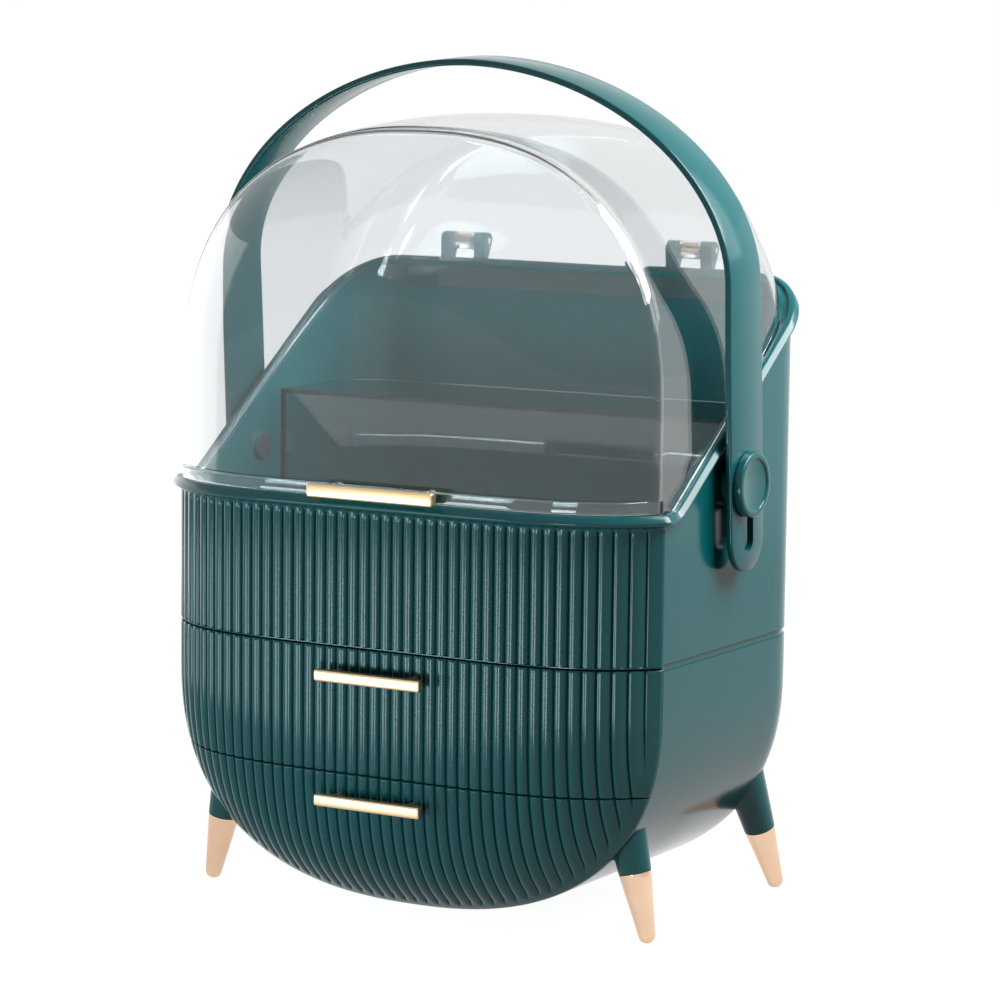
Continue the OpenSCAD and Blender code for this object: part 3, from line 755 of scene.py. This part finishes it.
def leg_profile(length):
    """Radius along a leg: a straight taper that ends inside the casing's wall."""
    along = np.linspace(FERRULE_LENGTH, length, 12)
    radius = LEG_R + LEG_TAPER * (along - FERRULE_LENGTH)
    return [(FERRULE_LENGTH, 0.01), *zip(along, radius), (length, 0.01)]


def ferrule_profile():
    """A ball end, a straight taper and a small rounded upper edge."""
    a = np.linspace(-np.pi / 2, -0.12, 12)
    ball = list(zip(TIP_R * np.sin(a), np.maximum(TIP_R * np.cos(a), 0.01)))
    top = FERRULE_LENGTH - 0.15
    steps = np.linspace(0.5, top - 0.5, 8)
    taper = [(v, TIP_R + (LEG_R - TIP_R) * v / FERRULE_LENGTH) for v in steps]
    return [*ball, *taper, (top - 0.15, 7.15), (top, 6.9), (top, 0.01)]


for place, (x, y, lean) in LEG_PLACES.items():
    length = LEG_LENGTHS[place.split("_")[0]]
    casing_parts.append(turned_shape(leg_profile(length), (x, y, TIP_Z), lean))
    points, faces = turned_shape(ferrule_profile(), (x, y, TIP_Z), lean)
    points[:, 2] = np.maximum(points[:, 2], 0)
    add_piece(
        f"plated_tip_{place}",
        (points, faces),
        "case",
        champagne_gold,
        [f"ferrule_{place}"],
    )
add_piece("casing_tub", merged(*casing_parts), "case", green_abs, ["lower_casing"])

# %% [markdown]
# ## The clear lid
#
# The lid is one clear moulding: a bulging front, a hoop over the top and a rear
# wall that draws in. Rings go from the middle of the front's lower edge out to
# the arch, back along the hoop, and in again over the rear wall, so one grid
# covers it all and only the lower edge is open. The same grid, moved inwards
# along its normals, is the inside, and the two are joined along the lower edge.

# %% Lid hood
LID_EDGE_R = 9.0
LID_REAR_R = 28.0     # rounding of the upright rear corners
LID_TOP_R = 7.0       # rounding of the rear edge at the top
LID_CROWN = 6.0       # how much the top swells between front and rear
LID_LIFT = -1.75      # the lid's lower edge against the rim's top
LID_BACK = BACK - LID_IN


def lid_level(x, z, half, height):
    """How near a point is to the arch, 0 in the middle and 1 on it."""
    rise = np.maximum(z - ARCH_Z, 0) / height
    return ((np.abs(x) / half) ** CURVE_E + rise**CURVE_E) ** (1 / CURVE_E)


def lid_outline(half, height, low, share):
    """The arch from its right foot to its left, cut off at low, by share of its length."""
    t = np.linspace(0, np.pi / 2, 400)
    power = 2 / CURVE_E
    x = half * np.cos(t) ** power
    z = ARCH_Z + height * np.sin(t) ** power
    x, z = np.concatenate([[half], x]), np.concatenate([[min(low, ARCH_Z) - 1e-3], z])
    start = np.interp(low, z, x)
    keep = z > low
    x, z = np.concatenate([[start], x[keep]]), np.concatenate([[low], z[keep]])
    x, z = np.concatenate([x, -x[-2::-1]]), np.concatenate([z, z[-2::-1]])
    length = np.concatenate([[0], np.cumsum(np.hypot(np.diff(x), np.diff(z)))])
    at = share * length[-1]
    return np.stack([np.interp(at, length, x), np.interp(at, length, z)], -1)


def lid_hood():
    """Front rings, hoop stations and rear rings as one grid of points."""
    half, height = HALF - LID_IN, ARCH_H
    share = crowded(181)
    share = 0.5 * share + 0.5 * np.linspace(0, 1, 181)
    low = float(rim_height(-200.0)) + LID_LIFT
    edge = lid_outline(half, height, low, share)
    foot = np.array([0.0, low])
    scale = 1 - (1 - np.linspace(0, 1, 60)) ** 1.9
    rings = foot + (edge - foot) * scale[:, None, None]
    level = np.minimum(lid_level(rings[..., 0], rings[..., 1], half, height), 1)
    s = (1 - level) * half
    edge_y = FRONT_EDGE + LID_IN / 2 + ARC_LEAD * LID_EDGE_R * 0.35
    depth = BULGE + FRONT_EDGE - LID_IN / 2 - edge_y
    y = -edge_y - depth * (1 - level**PILLOW_E)
    round_off = np.sqrt(np.maximum(LID_EDGE_R**2 - (LID_EDGE_R - s) ** 2, 0))
    y = np.where(s < ARC_REACH * LID_EDGE_R, -edge_y + ARC_LEAD * LID_EDGE_R - round_off, y)
    front = np.stack([rings[..., 0], y, rings[..., 1]], -1)
    hoop_from = -edge_y + ARC_LEAD * LID_EDGE_R
    reach = np.concatenate([np.linspace(0, 0.25, 14)[1:], np.linspace(0.25, 1, 14)[1:]])
    turn = np.concatenate([np.zeros(len(reach)), np.linspace(0, np.pi / 2, 16)[1:]])
    reach = np.concatenate([reach, np.ones(15)])
    up = smooth((edge[:, 1] - ARCH_Z) / ARCH_H)
    radius = LID_REAR_R + (LID_TOP_R - LID_REAR_R) * up
    hoop = []
    for share_y, angle in zip(reach, turn):
        depth_y = hoop_from + (LID_BACK - radius - hoop_from) * share_y + radius * np.sin(angle)
        draw = radius * (1 - np.cos(angle))
        full = lid_outline(half, height, float(rim_height(depth_y[0])) + LID_LIFT, share)
        shrink = (half - draw) / half
        ring_z = np.minimum(full[:, 1], ARCH_Z + (full[:, 1] - ARCH_Z) * shrink)
        hoop.append(np.column_stack([full[:, 0] * shrink, depth_y, ring_z]))
    hoop = np.stack(hoop)
    along = np.clip((hoop[..., 1] - hoop_from) / (LID_BACK - hoop_from), 0, 1)
    high = np.clip((hoop[..., 2] - ARCH_Z) / ARCH_H, 0, 1) ** 2
    hoop[..., 2] += LID_CROWN * high * np.sin(np.pi * along) ** 0.7
    middle = np.array([0.0, LID_BACK, hoop[-1][0, 2]])
    rear = middle + (hoop[-1] - middle) * np.linspace(1, 0, 12)[1:, None, None]
    return np.concatenate([front, hoop, rear])


def moved_in(grid, wall):
    """The grid moved inwards by the wall; the poles take the normal of the ring beside them."""
    normal = grid_normals(grid)
    normal[0], normal[-1] = (0, -1, 0), (0, 1, 0)
    centre = np.array([0, 0, ARCH_Z])
    outward = np.sign(np.sum(normal * (grid - centre), -1, keepdims=True))
    normal *= np.where(outward == 0, 1, outward)
    inner = grid - normal * wall
    inner[:, [0, -1], 2] = grid[:, [0, -1], 2]
    return inner


hood = lid_hood()
knuckles = []
for side in (-1, 1):
    x0, x1 = side * HINGE_X - HINGE_W / 4 + 0.3, side * HINGE_X + HINGE_W / 4 - 0.3
    wall_y = LID_BACK - 0.05
    root = [(wall_y, HINGE_Z + 3.4), (wall_y, HINGE_Z - 4), (HINGE_Y, HINGE_Z - KNUCKLE_R)]
    knuckles.append(hinge_leaf(x0, x1, root))
add_piece(
    "lid_hood",
    merged(walled(hood, moved_in(hood, LID_WALL)), *knuckles),
    "lid",
    clear_acrylic,
    ["lid_shell", "lid_front"],
    sharp=50,
)

# %% [markdown]
# ## The lid's flange
#
# A clear flange runs along the foot of the lid's front. It is a rounded bar
# carried along the front's outline from above, and at both ends it shrinks back
# into the lid's face.

# %% Lid flange
LID_FACE = -1.2       # the lid's face lies this far behind the case's front


def lid_flange():
    """A rounded oblong section carried along the front outline of the lid."""
    plan, normal = case_plan()
    keep = plan[:, 1] < FRONT_BACK + 0.01
    plan, normal = plan[keep][::2], normal[keep][::2]
    inner, outer, low, high, r = LID_FACE - 0.3, 2.6, RIM_FRONT + 0.6, RIM_FRONT + 6.0, 0.9
    turn = np.linspace(0, np.pi / 2, 5)
    section = []
    for o, z, a in (
        (outer - r, low + r, -np.pi / 2),
        (outer - r, high - r, 0),
        (inner + r, high - r, np.pi / 2),
        (inner + r, low + r, np.pi),
    ):
        section.append(np.stack([o + r * np.cos(turn + a), z + r * np.sin(turn + a)], -1))
    section = np.concatenate(section)
    ends = smooth((HALF - 1.0 - np.abs(plan[:, 0])) / 14.0)[:, None]
    offset = LID_FACE + (section[None, :, 0] - LID_FACE) * ends
    xy = plan[:, None] + normal[:, None] * offset[..., None]
    z = np.broadcast_to(section[None, :, 1:], (len(plan), len(section), 1))
    return tube(np.concatenate([xy, z], -1))


add_piece("lid_flange", lid_flange(), "lid", clear_acrylic)

# %% [markdown]
# ## The carrying handle
#
# The handle is a flat band bent into an arch, with a slot near each end. It
# leans a little forward. Its section is a thin oblong with rounded edges that
# narrows towards the top; it is carried over the arch, and the slots are cut out
# of the finished band.

# %% Handle band
BAND_IN, BAND_OUT = 130.2, 133.2
PIVOT_Y, PIVOT_Z = -12.9, 196.8
HANDLE_ARCH_Z = ARCH_Z + 53.0
HANDLE_TOP = ARCH_Z + ARCH_H + 31.5
HANDLE_E = 1.92
ARM_HALF, TOP_HALF = 15.5, 12.5
ARM_END = PIVOT_Z - 23.3
LEAN = math.radians(3.5)
SLOT_R, SLIDE = 5.0, 25.0
SLOT_CUT = (120, 140)  # the cutter runs through the arm between these


def leaned(points):
    """Turned about the pivots' axis by the handle's lean."""
    y, z = points[..., 1] - PIVOT_Y, points[..., 2] - PIVOT_Z
    c, s = math.cos(LEAN), math.sin(LEAN)
    return np.stack([points[..., 0], PIVOT_Y + y * c - z * s, PIVOT_Z + y * s + z * c], -1)


def handle_path():
    """Middle line of the band, its outward direction in the XZ plane, and its half width."""
    t = np.linspace(0, np.pi, 145)
    power = 2 / HANDLE_E
    half = (BAND_IN + BAND_OUT) / 2
    height = HANDLE_TOP - HANDLE_ARCH_Z - 1.5
    x = half * np.sign(np.cos(t)) * np.abs(np.cos(t)) ** power
    z = HANDLE_ARCH_Z + height * np.maximum(np.sin(t), 0) ** power
    a = np.linspace(0, np.pi / 2, 14)
    end = ARM_END - ARM_HALF * np.cos(a)
    straight = np.linspace(ARM_END, HANDLE_ARCH_Z, 24)[1:-1]
    foot = np.concatenate([end, straight])
    x = np.concatenate([np.full_like(foot, half), x, np.full_like(foot, -half)])
    z = np.concatenate([foot, z, foot[::-1]])
    step = np.stack([np.gradient(x), np.gradient(z)], -1)
    step /= np.linalg.norm(step, axis=1, keepdims=True)
    out = np.stack([step[:, 1], -step[:, 0]], -1)
    width = np.interp(z, [HANDLE_ARCH_Z - 30, HANDLE_TOP], [ARM_HALF, TOP_HALF])
    below = np.clip((ARM_END - z) / ARM_HALF, 0, 1)
    width = np.where(z < ARM_END, ARM_HALF * np.sqrt(np.maximum(1 - below**2, 1e-4)), width)
    return np.stack([x, z], -1), out, width


def handle_band():
    """An oblong section with rounded edges, carried along the arch."""
    path, out, width = handle_path()
    r, half_t = 0.9, 1.5
    turn = np.linspace(0, np.pi / 2, 4)
    corner = [(1, 1, 0), (-1, 1, np.pi / 2), (-1, -1, np.pi), (1, -1, 1.5 * np.pi)]
    rings = []
    for (px, pz), (ox, oz), w in zip(path, out, width):
        rr = min(r, w * 0.9)
        ring = []
        for sx, sy, a in corner:
            across = sx * (half_t - r) + r * np.cos(turn + a)
            along = sy * (w - rr) + rr * np.sin(turn + a)
            ring.append(np.stack([px + ox * across, PIVOT_Y + along, pz + oz * across], -1))
        rings.append(np.concatenate(ring))
    return tube(leaned(np.stack(rings)))


def slot_cutter(side):
    """A round-ended bar that cuts one slot, drawn across the arm."""
    a = np.linspace(0, np.pi, 17)
    y = np.concatenate([SLOT_R * np.cos(a), SLOT_R * np.cos(a + np.pi)])
    z = np.concatenate([SLOT_R * np.sin(a), SLOT_R * np.sin(a + np.pi) - SLIDE])
    ring = np.column_stack([PIVOT_Y + y, PIVOT_Z + z])
    ends = [np.column_stack([np.full(34, side * x), ring]) for x in SLOT_CUT]
    return tube(leaned(np.stack(ends)))


def cut_out(piece, shapes):
    """Cuts closed shapes out of a piece and keeps the result as its mesh."""
    cutters = []
    for shape in shapes:
        points, faces = shape
        mesh = bpy.data.meshes.new("cutter")
        mesh.from_pydata((points * MM).tolist(), [], faces)
        work = bmesh.new()
        work.from_mesh(mesh)
        bmesh.ops.recalc_face_normals(work, faces=work.faces)
        work.to_mesh(mesh)
        work.free()
        cutter = bpy.data.objects.new("cutter", mesh)
        bpy.context.scene.collection.objects.link(cutter)
        step = piece.modifiers.new("cut", "BOOLEAN")
        step.object, step.operation, step.solver = cutter, "DIFFERENCE", "EXACT"
        cutters.append(cutter)
    graph = bpy.context.evaluated_depsgraph_get()
    result = bpy.data.meshes.new_from_object(piece.evaluated_get(graph))
    piece.modifiers.clear()
    piece.data = result
    for cutter in cutters:
        bpy.data.objects.remove(cutter)
    result.set_sharp_from_angle(angle=math.radians(35))
    return piece


handle = add_piece("handle_arch", handle_band(), "handle", green_abs, ["handle_band"])
cut_out(handle, [slot_cutter(-1), slot_cutter(1)])

# %% [markdown]
# ## Pivot caps
#
# A round cap on each side covers the stud that the handle turns on. It has a
# shallow recess, and its neck passes through the slot.

# %% Caps and washers
STUD_R = 3.05         # bore round the stud
NECK_R, CAP_R = 4.7, 14.5


def turned_on_pivot(profile, side):
    """A closed profile of (distance from the middle, radius), turned round the pivots' axis."""
    t = np.linspace(0, 2 * np.pi, 97)[:-1]
    x, r = np.array(profile, float).T
    rings = np.stack([
        np.broadcast_to(side * x[:, None], (len(x), 96)),
        PIVOT_Y + r[:, None] * np.cos(t),
        PIVOT_Z + r[:, None] * np.sin(t),
    ], -1)
    return rings.reshape(-1, 3), grid_quads(len(x), 96, wrap_rows=True, wrap_cols=True)


CAP_PROFILE = [
    (129.9, STUD_R), (129.9, NECK_R), (133.5, NECK_R), (133.5, 14.1), (133.8, CAP_R),
    (136.3, CAP_R), (136.9, 14.3), (137.25, 13.9), (137.4, 13.3), (137.4, 12.1),
    (137.25, 11.6), (136.9, 11.3), (136.6, 11.2), (136.5, 10.9), (136.5, 0.02),
    (136.1, 0.02), (136.1, STUD_R),
]
WASHER_PROFILE = [
    (125.3, STUD_R), (125.3, 9.8), (125.5, 10.0), (129.7, 10.0), (129.9, 9.8), (129.9, STUD_R),
]
for side, hand in ((-1, "left"), (1, "right")):
    for name, profile in (("cap", CAP_PROFILE), ("washer", WASHER_PROFILE)):
        add_piece(
            f"{name}_{hand}",
            turned_on_pivot(profile, side),
            "pivot_caps",
            green_abs,
            [f"pivot_{name}_{hand}"],
            sharp=30,
        )

# %% [markdown]
# ## Pull bars
#
# Each drawer and the lid has a slim plated bar on two posts. The bar is an
# oblong section with rounded edges, drawn in at its ends.

# %% Bars
BAR_DEPTH = 4.6
POST_R = 2.5
POST_IN = 8           # from a bar's end to the middle of its post


def bar_shape(length, height, depth, y_front, z):
    """A rounded oblong section along X whose last millimetre draws in by a quarter circle."""
    r, end = 1.1, 0.9
    turn = np.linspace(0, np.pi / 2, 5)
    a = np.linspace(0, np.pi / 2, 6)
    x = length / 2 - end * (1 - np.sin(a))
    draw = end * (1 - np.cos(a))
    x, draw = np.concatenate([-x[::-1], x]), np.concatenate([draw[::-1], draw])
    rings = []
    for at, d in zip(x, draw):
        w, h = depth / 2 - d - r, height / 2 - d - r
        ring = []
        for sy, sz, b in ((1, 1, 0), (-1, 1, np.pi / 2), (-1, -1, np.pi), (1, -1, 1.5 * np.pi)):
            across, rise = sy * w + r * np.cos(turn + b), sz * h + r * np.sin(turn + b)
            ring.append(np.stack([across, rise], -1))
        back, up = np.concatenate(ring).T
        rings.append(np.column_stack([np.full(len(up), at), y_front + depth / 2 + back, z + up]))
    return tube(np.stack(rings))


def bar_post(x, z, y0, y1):
    """A round post from the bar to its seat."""
    t = np.linspace(0, 2 * np.pi, 33)[:-1]
    across, up = x + POST_R * np.cos(t), z + POST_R * np.sin(t)
    return tube(np.stack([np.column_stack([across, np.full(32, y), up]) for y in (y0, y1)]))


def pull_bar(name, node, body):
    """A bar with its posts, placed and sized by its construction node."""
    low, high = (np.array(c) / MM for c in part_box(node))
    z = (low[2] + high[2]) / 2
    length, height = high[0] - low[0], high[2] - low[2]
    parts = [bar_shape(length, height, BAR_DEPTH, low[1], z)]
    for side in (-1, 1):
        parts.append(bar_post(side * (length / 2 - POST_IN), z, low[1] + BAR_DEPTH - 1, high[1]))
    add_piece(name, merged(*parts), body, champagne_satin, [node])


pull_bar("lid_pull_bar", "lid_bar", "lid")
pull_bar("upper_pull_bar", "upper_drawer_bar", "upper_drawer")
pull_bar("lower_pull_bar", "lower_drawer_bar", "lower_drawer")

# %% [markdown]
# ## Pieces that follow the casing's rear
#
# The finished casing is rounded more softly at the rear than the built one. The
# shelf and the lower drawer's box are drawn in with it. Their half width is
# scaled by the rounded casing's over the built casing's at the same place. The
# built casing's is the smaller of the plan's and the front outline's.

# %% Shelf and lower box
KEPT_HALF = 62        # nearer the middle than this nothing is drawn in
EASE = 0.985          # a little more than needed, so that the wall stays clear


def drawn_in(node):
    """Points in mm and triangles of a built piece, its x scaled by rounded over built width.

    Rounded: (half - draw) * (1 - (rise / (height - draw))^e)^(1/e), where the rear
    corner's quarter circle gives the draw.
    """
    mesh = frame["nodes"][node].data
    points = np.empty(3 * len(mesh.vertices))
    mesh.vertices.foreach_get("co", points)
    points = points.reshape(-1, 3) / MM
    corners = np.empty(len(mesh.loops), dtype=int)
    mesh.loops.foreach_get("vertex_index", corners)
    x, y, z = points.T
    turn = np.clip((y - BACK + CORNER_R) / CORNER_R, 0, 1)
    draw = CORNER_R * (1 - np.sqrt(1 - turn**2))
    rise = np.maximum(CURVE_Z - z, 0)
    level = np.maximum(1 - (rise / (CURVE_H - draw)) ** CURVE_E, 0)
    rounded = (HALF - draw) * level ** (1 / CURVE_E)
    built = np.minimum(HALF - draw, HALF * (1 - (rise / CURVE_H) ** CURVE_E) ** (1 / CURVE_E))
    share = np.where(np.abs(x) > KEPT_HALF, EASE * rounded / built, 1.0)
    return np.column_stack([x * np.where(turn > 0, share, 1.0), y, z]), corners.reshape(-1, 3)


for name, node, body in (
    ("shelf_plate", "mid_shelf", "case"),
    ("lower_box", "lower_drawer_box", "lower_drawer"),
):
    add_piece(name, drawn_in(node), body, inner_abs, [node])

# %% [markdown]
# ## The remaining construction pieces
#
# The upper drawer's box, the step shelf, the screws and the pins are plain
# mouldings and turned parts whose construction shapes are already right. They
# keep their meshes and get their finishes by material slot.

# %% Finishes of the construction pieces
FINISHES = {
    "green_abs": green_abs,
    "inner_green_abs": inner_abs,
    "clear_acrylic": clear_acrylic,
    "champagne_gold": champagne_gold,
    "steel_screws": zinc_steel,
}
for part in frame["record"]["subparts"]:
    node = frame["nodes"][part["node"]]
    for place in node.material_slots:
        place.material = FINISHES[part["material_slot"]]

# %% [markdown]
# ## Studio
#
# The case stands on a seamless white floor in a white room. Light Path tells the
# floor and the world which rays come straight from the camera, off a glossy
# surface or through a clear one. Those see plain white, so the plating, the clear
# lid and the polished plastic all mirror the white room. All other rays see the
# floor as a grey and the world as a faint light. Near the case the floor is a
# shade below white, so the case keeps a faint shadow there.
#
# The light on the case comes from soft windows. Two low ones in front draw a
# bright line down each flute, a large high one lights the right side, and the
# weaker ones fill the left, the rear edges and the top.

# %% Floor and backdrop
FLOOR_GREY = "#5c5c5c"
FLOOR_REACH = 6.0     # metres to each side
NEAR_GLOW = 0.96      # near the case a shade below white, which keeps a faint shadow
GLOW_FROM, GLOW_TO = 0.3, 0.8   # metres over which it rises to plain white


def shows_backdrop(tree):
    """1 for rays from the camera, off gloss or through clear pieces, 0 for all other light."""
    path = add_node(tree, "ShaderNodeLightPath")
    shown = path.outputs["Is Camera Ray"]
    for ray in ("Is Glossy Ray", "Is Transmission Ray"):
        pair = {0: shown, 1: path.outputs[ray]}
        shown = add_node(tree, "ShaderNodeMath", pair, operation="MAXIMUM").outputs["Value"]
    return shown


def white_floor(name, near_glow):
    """Matt floor that looks white to the eye and in gloss, a shade less so near the case."""
    material, tree = new_material(name)
    spot = add_node(tree, "ShaderNodeTexCoord").outputs["Object"]
    away = add_node(tree, "ShaderNodeVectorMath", {0: spot}, operation="LENGTH")
    seen = add_node(
        tree,
        "ShaderNodeMapRange",
        {
            "Value": away.outputs["Value"],
            "From Min": GLOW_FROM,
            "From Max": GLOW_TO,
            "To Min": near_glow,
            "To Max": 1.0,
        },
    )
    glow = add_node(
        tree,
        "ShaderNodeMath",
        {0: shows_backdrop(tree), 1: seen.outputs["Result"]},
        operation="MULTIPLY",
    )
    shader = add_node(
        tree,
        "ShaderNodeBsdfPrincipled",
        {
            "Base Color": colour(FLOOR_GREY),
            "Roughness": 0.9,
            "Emission Color": (1, 1, 1, 1),
            "Emission Strength": glow.outputs["Value"],
        },
    )
    add_node(tree, "ShaderNodeOutputMaterial", {"Surface": shader.outputs["BSDF"]})
    return material


corners = [(x * FLOOR_REACH, y * FLOOR_REACH, 0) for x, y in ((-1, -1), (1, -1), (1, 1), (-1, 1))]
floor_mesh = bpy.data.meshes.new("floor")
floor_mesh.from_pydata(corners, [], [(0, 1, 2, 3)])
floor = bpy.data.objects.new("floor", floor_mesh)
bpy.context.scene.collection.objects.link(floor)
floor_mesh.materials.append(white_floor("white_floor", NEAR_GLOW))
floor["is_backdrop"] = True

# %% The room's light
WORLD_LIGHT = 0.04
world = bpy.data.worlds.new("studio")
bpy.context.scene.world = world
world.use_nodes = True
room = world.node_tree
room.nodes.clear()
strength = add_node(
    room,
    "ShaderNodeMix",
    {"Factor": shows_backdrop(room), "A": WORLD_LIGHT, "B": 1.0},
    data_type="FLOAT",
)
white = {"Color": (1, 1, 1, 1), "Strength": strength.outputs["Result"]}
sky = add_node(room, "ShaderNodeBackground", white)
add_node(room, "ShaderNodeOutputWorld", {"Surface": sky.outputs["Background"]})


# %% Lamps
CASE_MIDDLE = Vector((0, 0, 0.2))
COOL = "#dcf4f8"      # the two front windows are slightly cooler than the others


def window_light(name, bearing, away, height, size, power, tint="#ffffff"):
    """A rectangular lamp aimed at the case: degrees from the front to the right, metres, watts."""
    data = bpy.data.lights.new(name, "AREA")
    data.shape, data.energy = "RECTANGLE", power
    data.size, data.size_y = size
    data.color = colour(tint)[:3]
    lamp = bpy.data.objects.new(name, data)
    bpy.context.scene.collection.objects.link(lamp)
    a = math.radians(bearing)
    place = Vector((away * math.sin(a), -away * math.cos(a), height))
    lamp.location = place
    lamp.rotation_mode = "QUATERNION"
    lamp.rotation_quaternion = (CASE_MIDDLE - place).to_track_quat("-Z", "Y")
    lamp.visible_camera = False
    return lamp


window_light("front_window", -25, 0.50, 0.055, (0.24, 0.11), 1.0, COOL)
window_light("front_strip", 12, 0.50, 0.055, (0.12, 0.11), 0.7, COOL)
window_light("left_window", -92, 0.70, 0.25, (0.8, 0.45), 1.4)
window_light("high_window", 108, 0.45, 0.62, (0.4, 0.4), 10)
window_light("rear_window", 128, 0.90, 0.70, (0.6, 0.6), 2.5)
window_light("horizon_window", 145, 0.90, 0.30, (0.6, 0.5), 0.25)
window_light("top_window", 252, 0.53, 1.1, (0.3, 0.3), 0.3)
bpy.context.scene.view_settings.view_transform = "Standard"
print("lamps", [lamp.name for lamp in bpy.data.lights])

# %% [markdown]
# ## Sizes for the record
#
# The box of the finished model is printed.

# %% Write the sizes and finish
low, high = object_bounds()
print("finished box in mm", [round(v / MM, 1) for v in (*low, *high)])
